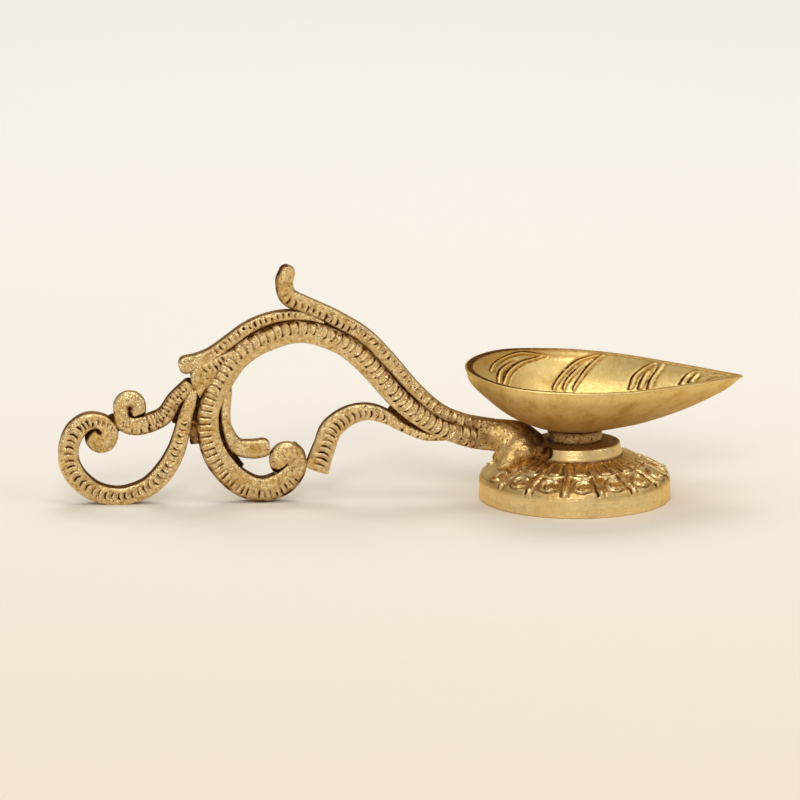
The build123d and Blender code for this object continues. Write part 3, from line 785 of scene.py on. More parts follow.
def handle_strands() -> list[Strand]:
    """Give the strands of the handle, from the root to the outer curls, and the webs between them."""
    return [
        Strand("handle_stem", (
            (-11.0, 3.6, 5.0), (0.0, 4.6, 5.6), (7.8, 6.6, 4.9), (14.3, 9.9, 5.2), (21.5, 15.8, 5.3),
            (29.8, 25.4, 5.7), (36.5, 30.5, 5.6), (45.8, 33.5, 5.8), (55.0, 31.4, 5.9), (62.1, 27.0, 5.9),
            (66.6, 20.6, 5.7), (69.6, 14.5, 5.5), (70.3, 9.0, 5.6), (69.4, 3.5, 6.1), (66.8, -1.5, 6.5),
            (62.2, -6.2, 6.4), (56.8, -8.2, 6.0), (51.5, -6.8, 6.2), (47.9, -3.4, 5.4), (46.9, 0.2, 3.8),
            (48.2, 2.7, 2.4)),
            5.0, (
                Stretch(11.0, 33.0, Mark.RIBS, 1.95, 0.42, -0.96, 0.96, 0.52, 0.38),
                Stretch(33.0, 62.0, Mark.RIBS, 1.95, 0.30, -0.92, 0.46, 0.18, 0.38),
                Stretch(62.0, 97.0, Mark.RIBS, 2.05, 0.16, -0.92, 0.16, 0.26, 0.36),
                Stretch(97.0, 117.5, Mark.BARS, 1.66, 0.0, -0.74, 0.30, 0.24, 0.34),
                Stretch(117.5, 138.0, Mark.TICKS, 1.35, 0.0, -0.90, 0.22, 0.10, 0.30),
            ), stop_cap=0.8, shade_left=0.75, crease_shade_right=0.75),
        Strand("handle_upper_strand", (
            (-9.0, 6.9, 2.4), (-3.9, 7.9, 2.6), (3.9, 9.1, 3.3), (10.4, 12.0, 3.4), (16.9, 17.8, 3.6),
            (23.3, 25.2, 4.0), (29.8, 31.9, 4.1), (37.5, 36.7, 4.1), (43.9, 39.7, 4.2), (49.2, 42.3, 4.6),
            (50.4, 46.0, 4.6), (49.7, 48.8, 4.2)),
            4.2, (
                Stretch(8.0, 30.0, Mark.RIBS, 2.2, -0.12, -0.96, 0.55, 0.30, 0.20),
                Stretch(30.0, 52.0, Mark.TICKS, 1.66, 0.12, -0.90, 0.10, 0.20, 0.17),
                Stretch(52.0, 71.5, Mark.TICKS, 1.70, 0.25, -0.34, 0.90, 0.90, 0.40),
            ), stop_cap=1.7, shade_left=0.85, shade_right=0.35, edge=0.8, crease_shade_left=0.75),
        Strand("handle_back_strand", (
            (40.6, 35.9, 0.7), (43.4, 36.9, 1.3), (47.0, 37.6, 2.2), (51.4, 37.4, 2.6), (56.3, 36.1, 2.8),
            (60.7, 33.8, 3.1), (65.1, 30.5, 3.2), (69.2, 27.5, 3.4), (73.0, 25.6, 4.1), (75.7, 24.9, 4.4)),
            4.6, (
                Stretch(6.5, 31.5, Mark.TICKS, 1.5, 0.0, -0.92, 0.55, 0.40, 0.28),
            ), start_cap=0.4, stop_cap=2.0, shade_left=0.9, crease_shade_left=0.6),
        Strand("handle_clasp_leaf", (
            (64.0, 28.2, 1.4), (66.2, 26.6, 2.4), (68.2, 25.0, 3.4), (70.1, 23.5, 4.8), (71.7, 21.6, 6.2),
            (72.3, 19.2, 3.6), (72.3, 17.0, 0.5)),
            5.2, (
                Stretch(2.0, 8.6, Mark.TICKS, 1.35, 0.0, -0.90, 0.90, 0.90, 0.34),
            ), start_cap=0.8, stop_cap=0.4, shade_left=0.95, shade_right=0.95),
        Strand("handle_small_curl", (
            (75.0, 19.6, 3.4), (78.8, 15.8, 3.7), (81.4, 11.7, 4.3), (85.0, 9.8, 4.6), (88.9, 9.0, 4.6),
            (92.0, 9.9, 4.2), (93.3, 12.4, 2.8)),
            4.4, (
                Stretch(0.8, 15.5, Mark.RIBS, 1.06, 0.0, -0.96, 0.10, 0.20, 0.22),
                Stretch(3.0, 21.0, Mark.TICKS, 1.9, 0.0, 0.15, 0.92, 0.92, 0.24),
            ), start_cap=0.6, stop_cap=0.7, shade_right=0.7, crease_shade_left=0.55),
        Strand("handle_big_curl", (
            (73.9, 18.0, 2.4), (75.0, 14.6, 3.3), (76.1, 11.2, 3.7), (77.2, 6.5, 4.1), (78.7, 1.9, 4.5),
            (81.5, -3.0, 4.9), (86.1, -7.4, 4.7), (92.7, -9.5, 4.5), (98.9, -8.5, 4.7), (103.7, -5.0, 5.2),
            (106.1, -0.6, 5.4), (106.1, 4.0, 5.2), (104.4, 7.9, 5.1), (101.2, 10.3, 4.3), (97.6, 10.2, 3.6),
            (95.0, 8.4, 2.8), (94.4, 6.0, 2.0)),
            4.7, (
                Stretch(8.0, 62.5, Mark.CRESCENTS, 1.75, -0.38, -0.62, 0.50, 0.50, 0.36),
                Stretch(62.5, 73.0, Mark.CRESCENTS, 1.35, -0.30, -0.80, 0.40, 0.60, 0.28),
            ), start_cap=0.6, stop_cap=0.6, shade_right=0.8),
        Strand("handle_inner_leaf", (
            (64.9, 20.4, 1.6), (65.2, 17.0, 2.3), (65.7, 12.4, 2.5), (65.2, 7.7, 2.6), (62.9, 3.3, 3.9),
            (59.0, 2.4, 4.7), (56.1, 2.7, 4.6)),
            4.0, (), start_cap=1.0, stop_cap=1.9, shade_right=0.95, crease_shade_right=0.5),
        Strand("handle_lower_leaf", (
            (42.3, -3.2, 6.4), (40.2, 2.8, 5.7), (38.4, 7.3, 5.6), (34.2, 10.7, 4.9), (29.3, 11.9, 4.2),
            (24.6, 10.7, 3.6), (19.8, 7.7, 2.4), (14.5, 5.4, 2.1), (10.6, 4.9, 1.5), (7.4, 4.7, 0.7)),
            3.8, (
                Stretch(1.2, 28.0, Mark.CRESCENTS, 1.66, -0.38, -0.80, 0.55, 0.40, 0.34),
                Stretch(26.0, 43.0, Mark.TICKS, 2.3, 0.0, -1.10, -0.10, -0.05, 0.30),
            ), start_cap=0.3, stop_cap=0.8, shade_left=0.7),
        Strand("handle_upper_web", (
            (-3.9, 7.2, 1.6), (3.9, 8.2, 1.8), (10.4, 11.0, 2.0), (16.9, 16.4, 2.4), (23.3, 23.3, 2.6),
            (29.8, 30.0, 2.6), (37.5, 34.6, 2.8), (43.9, 37.2, 3.0), (51.4, 35.6, 2.6), (58.0, 33.0, 2.6),
            (63.0, 29.4, 2.6), (66.4, 26.2, 2.4)),
            3.0, lumps=0.34, soot=0.92),
        Strand("handle_clasp_web", ((73.2, 21.0, 5.0), (73.6, 16.0, 4.6), (73.4, 10.0, 4.4)),
               2.6, lumps=0.34, soot=0.96),
        Strand("handle_clasp_foot", ((73.4, 10.4, 4.2), (73.2, 8.0, 4.0), (73.1, 5.6, 3.8), (73.0, 4.2, 3.6)),
               3.2, lumps=0.50, soot=0.66),
        Strand("handle_inner_web", (
            (67.3, 15.2, 1.6), (67.8, 10.0, 2.0), (67.1, 5.6, 2.2), (65.5, 2.2, 2.6), (63.2, -0.8, 2.4),
            (61.6, -2.3, 1.6)),
            1.8, lumps=0.2, soot=1.0),
        Strand("handle_lower_web", (
            (23.5, 12.6, 2.2), (20.8, 10.8, 3.4), (17.3, 8.6, 3.2), (14.0, 6.6, 2.4), (11.4, 5.5, 1.6)),
            2.6, lumps=0.42, soot=0.85),
        Strand("handle_small_web", (
            (76.4, 15.4, 1.8), (77.9, 12.2, 2.4), (78.6, 10.6, 2.0), (78.9, 9.6, 1.2)),
            2.4, lumps=0.42, soot=0.9),
        Strand("handle_curl_web", ((95.7, 11.7, 2.0), (94.6, 9.4, 2.6), (93.7, 7.4, 1.6)),
               2.2, lumps=0.3, soot=0.9),
    ]


class Vein(NamedTuple):
    """A chiselled vein: its points, the shares walked at them and the corners of its box."""

    points: list[tuple[float, float]]
    walked: list[float]
    low: Vector
    high: Vector

    def nearest(self, x: float, y: float) -> tuple[float, float]:
        """Give the distance from a place to the vein, negative on its left, and the share walked there."""
        best, along, sided = math.inf, 0.0, 0.0
        spans = zip(self.points, self.points[1:], self.walked, self.walked[1:])
        for (ax, ay), (bx, by), start, stop in spans:
            dx, dy = bx - ax, by - ay
            share = min(max(((x - ax) * dx + (y - ay) * dy) / (dx * dx + dy * dy), 0.0), 1.0)
            ox, oy = x - ax - share * dx, y - ay - share * dy
            away = math.hypot(ox, oy)
            if away < best:
                best = away
                along = start + share * (stop - start)
                sided = math.copysign(away, ox * dy - oy * dx)
        return sided, along


@dataclass
class LeafBowl:
    """The leaf-shaped oil bowl with chiselled veins on its inner wall."""

    heel: float = 28.6
    tip: float = 43.7
    width: float = 56.4
    depth: float = 15.1
    wall: float = 2.0
    tip_wall: float = 3.0
    floor: float = 2.4
    tip_width: float = 2.6
    dip: float = 2.5
    rim_height: float = 33.5
    rim_round: float = 0.26
    seat_height: float = 18.4
    heel_pull: Knot = (0.0, 30.0, 0.0)
    tip_pull: Knot = (14.5, -11.6, 0.0)
    columns: int = 560
    quick_columns: int = 240
    outer_rows: int = 44
    inner_rows: int = 120
    quick_rows: int = 40
    vein_run: float = 72.0
    vein_fall: float = 24.0
    vein_reach: float = 2.2
    side: tuple[tuple[float, float], ...] = ((0.12, 0.80), (0.34, 1.0), (0.56, 0.885), (0.79, 0.49))
    rim_shares: tuple[float, ...] = (0.0, 0.05, 0.12, 0.22, 0.36, 0.5, 0.64, 0.78, 0.88, 0.95, 1.0)
    levels: tuple[tuple[float, float, float, float], ...] = (
        (0.0, 1.0, 1.0, 1.0), (0.08, 0.985, 0.960, 0.992), (0.25, 0.945, 0.888, 0.97),
        (0.50, 0.795, 0.734, 0.868), (0.74, 0.615, 0.545, 0.665), (0.92, 0.39, 0.36, 0.40),
        (1.0, 0.18, 0.18, 0.17),
    )
    veins: tuple[tuple[tuple[float, float], ...], ...] = (
        ((0.070, 0.30), (0.106, 0.21), (0.171, 0.11), (0.231, 0.07), (0.312, 0.13)),
        ((0.051, 0.50), (0.099, 0.37), (0.142, 0.30), (0.180, 0.25)),
        ((0.068, 0.55), (0.139, 0.40), (0.218, 0.26), (0.271, 0.20), (0.312, 0.145)),
        ((0.337, 0.70), (0.371, 0.57), (0.419, 0.38), (0.462, 0.20), (0.511, 0.075)),
        ((0.402, 0.69), (0.425, 0.55), (0.459, 0.40), (0.482, 0.28)),
        ((0.465, 0.68), (0.485, 0.52), (0.511, 0.30), (0.539, 0.06)),
        ((0.740, 0.54), (0.713, 0.36), (0.716, 0.20), (0.734, 0.06)),
        ((0.777, 0.51), (0.756, 0.39), (0.740, 0.24)),
        ((0.811, 0.48), (0.782, 0.33), (0.764, 0.06)),
        ((0.896, 0.31), (0.881, 0.18), (0.886, 0.08), (0.906, 0.04)),
        ((0.912, 0.24), (0.904, 0.10)),
        ((0.932, 0.20), (0.953, 0.09), (0.975, 0.05)),
    )

    def outline(self) -> list[tuple[float, float]]:
        """Draw the leaf once round, as even steps of (share of length, signed share of half width)."""
        length, half = self.heel + self.tip, self.width / 2.0
        shares = ((0.0, 0.0), *self.side, (1.0, self.tip_width / self.width))
        knots = [Vector((u * length, v * half, 0.0)) for u, v in shares]
        curve = run_through(knots, Vector(self.heel_pull), Vector(self.tip_pull), steps=60)
        total = sum((there - here).length for here, there in zip(curve, curve[1:]))
        walked = even_steps(curve, total / (self.columns // 2))
        edge = [(point.x / length, point.y / half) for _, point in walked]
        return edge[:-1] + [(u, -v) for u, v in reversed(edge[1:])]

    def shrunk(self, drops: list[float]) -> list[Knot]:
        """Read how far heel, tip and width have shrunk at shares of the depth.

        The curve runs over the root of the depth, which rounds the sides into the floor.
        """
        rooted = [(math.sqrt(drop), *rest) for drop, *rest in self.levels]
        ends = run_through([Vector(level[:3]) for level in rooted], steps=20)
        sides = run_through([Vector((level[0], level[3], 0.0)) for level in rooted], steps=20)
        result = []
        for drop in drops:
            root = math.sqrt(max(drop, 0.0))
            index = next((at for at, point in enumerate(ends[1:-1]) if point.x >= root), len(ends) - 2)
            share = (root - ends[index].x) / (ends[index + 1].x - ends[index].x)
            end = ends[index].lerp(ends[index + 1], share)
            result.append((end.y, end.z, sides[index].lerp(sides[index + 1], share).y))
        return result

    def hull(self, level: Knot, drop: float, inside: float, u: float, v: float) -> Vector:
        """Place a point of the hull, before the bowl is tipped.

        Args:
            level: How far heel, tip and width have shrunk at this depth.
            drop: Share of the depth below the rim.
            inside: 0 on the outer face, 1 on the inner face.
            u: Share of the leaf's length.
            v: Share of the half width, with its sign.

        Returns:
            The point.
        """
        heel = level[0] * (self.heel - inside * self.wall)
        tip = level[1] * (self.tip - inside * self.tip_wall)
        half = level[2] * (self.width / 2.0 - inside * self.wall)
        return Vector((-heel + u * (heel + tip), v * half, -drop * (self.depth - inside * self.floor)))

    def vein_lines(self) -> list[Vein]:
        """Lay out the veins in the plane of the share along the leaf and the share of the depth."""
        lines = []
        for vein in self.veins:
            knots = [Vector((u * self.vein_run, drop * self.vein_fall, 0.0)) for u, drop in vein]
            curve = run_through(knots, steps=9)
            gaps = [(there - here).length for here, there in zip(curve, curve[1:])]
            lengths = list(accumulate(gaps, initial=0.0))
            margin = Vector((self.vein_reach, self.vein_reach))
            low = Vector((min(p.x for p in curve), min(p.y for p in curve))) - margin
            high = Vector((max(p.x for p in curve), max(p.y for p in curve))) + margin
            lines.append(Vein([tuple(p.xy) for p in curve], [at / lengths[-1] for at in lengths], low, high))
        return lines

    def vein_cut(self, veins: list[Vein], u: float, drop: float) -> tuple[float, float, float]:
        """Work out the chisel's cut on the inner wall.

        Args:
            veins: The veins' lines.
            u: Share of the leaf's length.
            drop: Share of the depth.

        Returns:
            The height added to the wall, the hollow and the wear.
        """
        x, y = u * self.vein_run, drop * self.vein_fall
        ridged, recess_and_shade = 0.0, 0.0
        for vein in veins:
            if not (vein.low.x < x < vein.high.x and vein.low.y < y < vein.high.y):
                continue
            sided, along = vein.nearest(x, y)
            if abs(sided) < self.vein_reach:
                size = 0.45 + 0.55 * math.sin(math.pi * min(along * 0.8 + 0.2, 1.0))
                chipped = size * (1.0 + 0.5 * ripple(Vector((x * 0.9, y * 0.9, 2.0))))
                ridged = max(ridged, hump(sided + 0.22, 0.46) * size)
                groove = hump(sided - 0.58, 0.34)
                fringe = 0.6 * hump(sided + 1.05, 0.30)
                recess_and_shade = max(recess_and_shade, chipped * max(groove, fringe))
        return 0.50 * (ridged - recess_and_shade), 1.25 * recess_and_shade * (1.0 - 0.5 * ridged), ridged

    def rows(self) -> list[tuple[float, float]]:
        """List the skin's rings as (share of the depth, share of the wall from outside to inside)."""
        dense = self.inner_rows
        rings = [(1.0 - step / self.outer_rows, 0.0) for step in range(self.outer_rows)]
        rings += [(0.0, share) for share in self.rim_shares]
        return rings + [(drop, 1.0) for drop in steps_to(0.0, 1.0, dense)]

    def build(self, brass: Material) -> Piece:
        """Build the bowl as one closed skin, from under its floor round the rim to its inside.

        Args:
            brass: Its finish.

        Returns:
            The bowl's object.
        """
        outline = self.outline()
        veins = self.vein_lines()
        rows = self.rows()
        levels = self.shrunk([drop for drop, _ in rows])
        tip_turn = Matrix.Rotation(math.radians(self.dip), 3, "Y")
        lift = Vector((0.0, 0.0, self.rim_height))

        def place(row: int, column: int) -> Spot:
            """Place a point of the bowl's skin."""
            drop, inside = rows[row]
            u, v = outline[column]
            point = self.hull(levels[row], drop, inside, u, v)
            if row in (0, len(rows) - 1):
                point.x, point.y = 0.0, 0.0
            if drop == 0.0:
                point.z -= self.rim_round * abs(2.0 * inside - 1.0) ** 8 * eased(1.0, 0.8, u)
                recess_and_shade = (0.42 + 0.46 * eased(0.5, 0.12, u)) * eased(0.05, 0.30, inside)
                # The rim's outer edge is brightened partly as wear and partly as painted highlight.
                wear_and_glint = 0.95 * eased(0.30, 0.08, inside) * between((0.05, 0.2, 0.85, 1.0), u)
            elif inside == 1.0:
                height, recess_and_shade, wear_and_glint = self.vein_cut(veins, u, drop)
                point += Vector((-0.15 * u, -v, 0.55)).normalized() * height
                # Painted shade: a dark line just inside the rim.
                recess_and_shade = max(recess_and_shade, 0.45 * hump(drop - 0.02, 0.02))
                wear_and_glint = max(wear_and_glint, 0.34 * (1.0 - recess_and_shade))
            else:
                heel_stain = 0.20 * hump(u - 0.08, 0.14) * eased(0.05, 0.2, drop)
                # Painted shade: the outer hull darkens towards its floor.
                recess_and_shade = 0.11 + 0.26 * eased(0.15, 0.9, drop) + heel_stain
                # A bright line at the outer lip, partly painted highlight, over a paler worn band below it.
                wear_and_glint = max(0.9 * hump(drop, 0.035), 0.4 * eased(0.26, 0.0, drop))
            point += point.normalized() * (0.05 * ripple(point, 0.16))
            point = tip_turn @ point + lift
            point.z = max(point.z, self.seat_height)
            return point, recess_and_shade, wear_and_glint

        mould = Mould("leaf_bowl_cast")
        mould.sheet(len(rows), len(outline), place)
        return mould.cast(brass, "cast_brass", ("leaf_bowl",))


@dataclass
class LotusBase:
    """The hollow domed base with its ring of lotus petals, band and collar."""

    radius: float = 24.85
    band: float = 4.4
    foot_round: float = 0.5
    dome: float = 11.6
    shoulder_inset: float = 1.4
    shoulder_rise: float = 2.4
    shoulder_turn: float = 66.6
    wall: float = 2.6
    collar: float = 12.4
    collar_taper: float = 0.7
    collar_top: float = 15.0
    crown: float = 15.4
    ceiling: float = 12.0
    neck: float = 7.15
    hole: float = 2.75
    pocket: float = 7.6
    petals: int = 16
    petal_place: float = 22.2
    petal_radius: float = 2.3
    bar_fade: Fade = (15.0, 16.0, 25.2, 26.2)
    flute_fade: Fade = (12.5, 12.9, 17.2, 17.9)
    chevron_place: float = 18.0
    chevron_rise: float = 0.85
    relief: float = 0.60
    line_depth: float = 0.34
    overhang: float = 0.8
    bare: float = 16.0
    steps: int = 720
    quick_steps: int = 240

    def crest_centre(self) -> tuple[float, float]:
        """Give the height of the crest's centre and its radius."""
        edge = self.radius - self.shoulder_inset
        edge_height = self.band + self.shoulder_rise
        fall = self.dome - edge_height
        centre = (self.collar ** 2 + self.dome ** 2 - edge ** 2 - edge_height ** 2) / (2.0 * fall)
        return centre, math.hypot(self.collar, self.dome - centre)

    def crest(self, radius: float, depth: float = 0.0) -> float:
        """Give the crest's height at a radius, or of a face a depth below it."""
        centre, sphere = self.crest_centre()
        return centre + math.sqrt((sphere - depth) ** 2 - radius ** 2)

    def profile(self) -> list[tuple[float, float]]:
        """Draw half the base's section as (radius, height), once round from the foot."""
        foot, inside = self.foot_round, self.radius - self.wall
        top, rise = self.collar - self.collar_taper, self.collar_top - self.dome
        points = [(self.radius - foot, 0.0)]
        points += [(self.radius - foot * (1.0 - math.sin(angle)), foot * (1.0 - math.cos(angle)))
                   for angle in steps_to(0.0, math.pi / 2.0, 6)]
        points += [(self.radius, height) for height in steps_to(foot, self.band, 14)]
        turn = math.radians(self.shoulder_turn)
        points += [(self.radius - self.shoulder_inset * (1.0 - math.cos(angle)),
                    self.band + self.shoulder_rise * math.sin(angle) / math.sin(turn))
                   for angle in steps_to(0.0, turn, 10)]
        points += [(radius, self.crest(radius)) for radius in steps_to(points[-1][0], self.collar, 62)]
        points += [(self.collar - self.collar_taper * share, self.dome + rise * share)
                   for share in (0.1, 0.3, 0.5, 0.7, 0.85, 0.93)]
        points += [(top - 0.10, self.collar_top - 0.06), (top - 0.35, self.collar_top)]
        points += list(zip(steps_to(top, self.neck, 4), steps_to(self.collar_top, self.crown, 4)))
        points += [(self.hole, self.crown), (self.hole, self.ceiling), (self.pocket, self.ceiling)]
        points += [(radius, self.crest(radius, self.wall))
                   for radius in [self.collar] + steps_to(self.collar, inside, 12)]
        return points + [(inside, 2.5), (inside, 0.5), (inside + 0.3, 0.0)]

    def scroll(self, away: float, across: float) -> tuple[float, float, float]:
        """Work out one petal's snail scroll.

        Args:
            away: Outwards from the scroll's middle.
            across: To the right of it, seen from outside.

        Returns:
            The scroll's raised line, its raised eye and the dark line inside it.
        """
        spread = math.hypot(away, across)
        turned = math.degrees(math.atan2(-away, across) - math.radians(38.0)) % 360.0
        off_line = spread - self.petal_radius + 1.0 * turned / 300.0
        ends = between((0.0, 16.0, 296.0, 318.0), turned)
        eye = eased(1.0, 0.25, math.hypot(away - 0.62, across - 0.72))
        outer = hump(off_line + 0.74, 0.34) * ends * eased(20.0, 90.0, turned)
        inner = 0.8 * hump(off_line - 0.70, 0.32) * ends
        return hump(off_line, 0.40) * ends, eye, max(outer * (1.0 - eye), inner)

    def motif(self, radius: float, angle: float) -> tuple[float, float]:
        """Work out the lotus relief.

        Args:
            radius: From the lamp's axis, counted on down the shoulder.
            angle: Round the axis, from +X.

        Returns:
            The height of the relief and its hollow, which holds the painted shadow beside the bars.
        """
        step = math.tau / self.petals
        index = round(angle / step)
        off = angle - index * step
        uneven = ripple(Vector((index * 2.31, radius * 0.5, 0.4)))
        ring, eye, scroll_line = self.scroll(radius - self.petal_place, radius * off + 0.2 * uneven)
        bar_off = radius * (abs(off) - step / 2.0) * math.copysign(1.0, off) + 0.25 * uneven
        bar_reach = between(self.bar_fade, radius)
        bar = hump(bar_off, 0.66 - 0.36 * eased(23.4, 25.8, radius)) * bar_reach
        # The lines beside each bar are cut grooves, darkened partly by patina and partly as painted shadow of
        # the bar, more on one side.
        bar_line = max(hump(bar_off + 0.98, 0.40), 0.7 * hump(bar_off - 0.98, 0.32)) * bar_reach
        turn = angle * 2.0 * self.petals / math.tau + 0.5
        flute_off = (turn - round(turn)) * step / 2.0 * radius
        flutes = between(self.flute_fade, radius)
        lively = 0.75 + 0.6 * ripple(Vector((round(turn) * 2.9, 1.7, 0.0)))
        flute_line = hump(flute_off + 0.3 * uneven, 0.42) * flutes * lively
        tongue = flutes * (1.0 - hump(flute_off, 0.5))
        chevron_off = radius - self.chevron_place - self.chevron_rise * (1.0 - abs(2.0 * off / step))
        raised = max(ring, eye, bar, 0.75 * hump(chevron_off, 0.28), 0.45 * tongue)
        lines = max(scroll_line * (1.0 - bar), bar_line * (1.0 - ring), flute_line,
                    0.7 * hump(chevron_off + 0.62, 0.28))
        lines *= 1.0 - eased(0.35, 0.8, raised)
        rim = eased(26.3, 25.4, radius)
        worn = 0.85 + 0.5 * ripple(Vector((radius * 0.7, angle * 14.0, 3.0)))
        hollow = (0.05 * (1.0 - raised) + 1.12 * lines * worn) * max(rim, 0.3 * bar_reach)
        return self.relief * raised - self.line_depth * lines * rim, hollow

    def build(self, brass: Material) -> Piece:
        """Build the base.

        Args:
            brass: Its finish.

        Returns:
            The base's object.
        """
        centre, _ = self.crest_centre()
        inside = self.radius - self.wall + 0.05
        mould = Mould("lotus_base_cast")
        mould.turned(self.profile(), self.steps)

        def move(point: Vector) -> Spot:
            """Raise the lotus relief, mark the hollows, paint light on the upper dome and paint shade on its
            shoulder.
            """
            radius = math.hypot(point.x, point.y)
            angle = math.atan2(point.y, point.x)
            outside = radius > inside or (radius > self.collar + 0.02 and point.z > self.crest(radius, 1.2))
            if not outside or point.z < self.band - 1.2:
                return self.plain_spot(point, radius)
            bare = eased(math.radians(self.bare), math.radians(self.bare + 4.0), math.pi - abs(angle))
            down = max(self.band + self.shoulder_rise - point.z, 0.0)
            height, recess_and_shade = self.motif(radius + self.overhang * down, angle)
            fade = eased(self.band - 0.4, self.band + 1.0, point.z)
            high = eased(6.2, 7.4, point.z)
            outwards = Vector((point.x, point.y, point.z - centre)).normalized()
            rough = 0.05 * ripple(point, 0.9) + 0.04 * ripple(point, 2.1)
            lift = (height * bare + rough - 0.05) * fade
            # Painted light brightens the upper dome, and painted shade darkens its shoulder above the band.
            wear_and_glint = max(eased(0.20, 0.5, height) * bare * fade, 0.66 * high,
                       self.rubbing(point) * (1.0 - fade))
            return point + outwards * lift, max(recess_and_shade * bare * fade, 0.12 * fade * (1.0 - high)), wear_and_glint

        mould.shape(move)
        return mould.cast(brass, "cast_brass", ("lotus_base",))

    @staticmethod
    def rubbing(point: Vector) -> float:
        """Tell how far hands have rubbed the band bright at a point."""
        return 0.80 + 0.40 * ripple(point, 0.13)

    def plain_spot(self, point: Vector, radius: float) -> Spot:
        """Mark the plain parts: band, collar, crown and the hollow underneath."""
        if point.z < self.ceiling + 0.05 and radius < self.radius - self.wall + 0.05:
            return point, 0.62, 0.0
        if point.z <= self.band:
            return point, 0.10 * eased(1.2, 0.0, point.z), self.rubbing(point)
        if radius < self.collar - self.collar_taper - 0.3:
            return point, 0.50, 0.0
        lip = hump(point.z - self.collar_top, 0.35)
        pitted = 0.5 * eased(0.05, 0.4, ripple(point, 0.55)) * eased(4.0, -8.0, point.x)
        return point, max(0.5 * hump(point.z - self.dome, 0.35), pitted), max(0.8 * lip, 0.55)


@dataclass
class NeckRing:
    """The short turned ring between bowl and base."""

    radius: float = 7.15
    bore: float = 5.1
    foot: float = 15.4
    top: float = 18.4
    edge: float = 0.15
    edge_height: float = 0.12
    facets: int = 180

    def build(self, brass: Material) -> Piece:
        """Build the ring in its finish."""
        low, high = self.foot + self.edge_height, self.top - self.edge_height
        rows = [(self.radius - self.edge, self.foot)]
        rows += [(self.radius, height) for height in [low] + steps_to(low, high, 16)]
        rows += [(self.radius - self.edge, self.top), (self.bore, self.top), (self.bore, self.foot)]
        mould = Mould("neck_ring_turned")
        mould.turned(rows, self.facets)

        def move(point: Vector) -> Spot:
            """Roughen the ring's outside and paint shadow at its foot and under the bowl."""
            radius = math.hypot(point.x, point.y)
            if radius < self.radius - self.edge - 0.05:
                return point, 0.6, 0.0
            share = (radius + 0.10 * ripple(point, 0.9) - 0.10) / radius
            shadow = max(hump(point.z - self.foot, 0.5), hump(point.z - self.top, 0.8))
            return Vector((point.x * share, point.y * share, point.z)), 0.13 + 0.5 * shadow, 0.0

        mould.shape(move)
        return mould.cast(brass, "cast_brass", ("neck_ring",))


@dataclass
class BrazeLump:
    """The lump of filler metal that joins the handle's root to the dome, with a limb down each side.

    Each blob is its centre and its three half sizes. The limb's blobs are mirrored to the other side.
    """

    blobs: tuple[tuple[float, ...], ...] = (
        (-23.6, 0.0, 16.7, 4.6, 2.8, 3.9), (-20.4, 0.0, 16.7, 4.8, 3.6, 4.4),
        (-17.6, 0.0, 16.3, 4.8, 4.4, 4.7), (-15.2, 0.0, 15.9, 4.6, 5.0, 4.6),
        (-12.8, 0.0, 15.4, 3.9, 4.9, 3.9), (-10.6, 0.0, 14.9, 2.7, 4.2, 2.8),
        (-15.6, 0.0, 12.4, 4.4, 6.0, 4.0), (-16.8, 0.0, 10.8, 3.4, 6.0, 2.8),
    )
    limb: tuple[tuple[float, ...], ...] = (
        (-17.6, 2.4, 12.8, 3.0, 3.6, 3.6), (-13.2, 4.2, 13.4, 3.4, 3.0, 3.2),
        (-14.2, 3.4, 15.2, 2.9, 2.9, 3.0), (-15.0, 4.0, 14.2, 2.9, 2.8, 2.9),
        (-15.8, 4.5, 13.2, 2.8, 2.7, 2.8), (-16.6, 4.9, 12.2, 2.7, 2.6, 2.6),
        (-17.4, 5.2, 11.2, 2.6, 2.5, 2.3), (-18.2, 5.4, 10.2, 2.5, 2.4, 1.9),
        (-19.0, 5.5, 9.5, 2.3, 2.3, 1.4),
    )
    drip: tuple[float, ...] = (-8.5, -9.2, 13.8, 2.4, 1.7, 2.1)
    middle_height: float = 14.0
    voxel: float = 0.28
    smoothing: int = 24

    def build(self, metal: Material) -> Piece:
        """Build the lump.

        Args:
            metal: Its finish.

        Returns:
            The lump's object.
        """
        mould = Mould("handle_braze_lump")
        mirrored = tuple((x, -y, *rest) for x, y, *rest in self.limb)
        for blob in (*self.blobs, *self.limb, *mirrored, self.drip):
            spread = Matrix.Diagonal((*(half * MM for half in blob[3:]), 1.0))
            bmesh.ops.create_icosphere(mould.bm, subdivisions=3, radius=1.0,
                                       matrix=Matrix.Translation(Vector(blob[:3]) * MM) @ spread)
        mould.fuse(self.voxel, self.smoothing)
        drip = Vector(self.drip[:3])

        def move(point: Vector) -> Spot:
            """Roughen the filler, mark its burnt places and brighten its limbs with painted highlight."""
            rough = 0.24 * ripple(point, 0.32) + 0.13 * ripple(point, 0.9) + 0.06 * ripple(point, 2.2)
            middle = Vector((point.x, 0.0, self.middle_height))
            burnt = eased(4.0, 2.0, (point - drip).length) * (0.58 + 0.3 * ripple(point, 0.8))
            top = eased(-15.0, -10.5, point.x) * 0.42
            root = eased(-20.5, -24.5, point.x) * 0.36
            foot = eased(11.0, 9.0, point.z) * 0.25
            stain = 0.03 + 0.26 * eased(-0.1, 0.4, ripple(point * 0.22 + Vector((4.0, 1.0, 2.0))))
            recess_and_shade = max(burnt, top, root, foot) + stain
            # Painted highlight: the limbs down each side are brightened.
            limb = eased(3.0, 5.0, abs(point.y)) * eased(10.0, 12.5, point.z)
            wear_and_glint = max(0.14, 0.42 * limb) * (1.0 - recess_and_shade)
            return point + (point - middle).normalized() * rough, recess_and_shade, wear_and_glint

        mould.shape(move)
        return mould.cast(metal, "braze_metal", ("handle_braze",))


class SoftLamp(NamedTuple):
    """A square soft light: its name, place and aim in metres, side in metres and power in watts."""

    name: str
    place: Knot
    aim: Knot
    size: float
    power: float


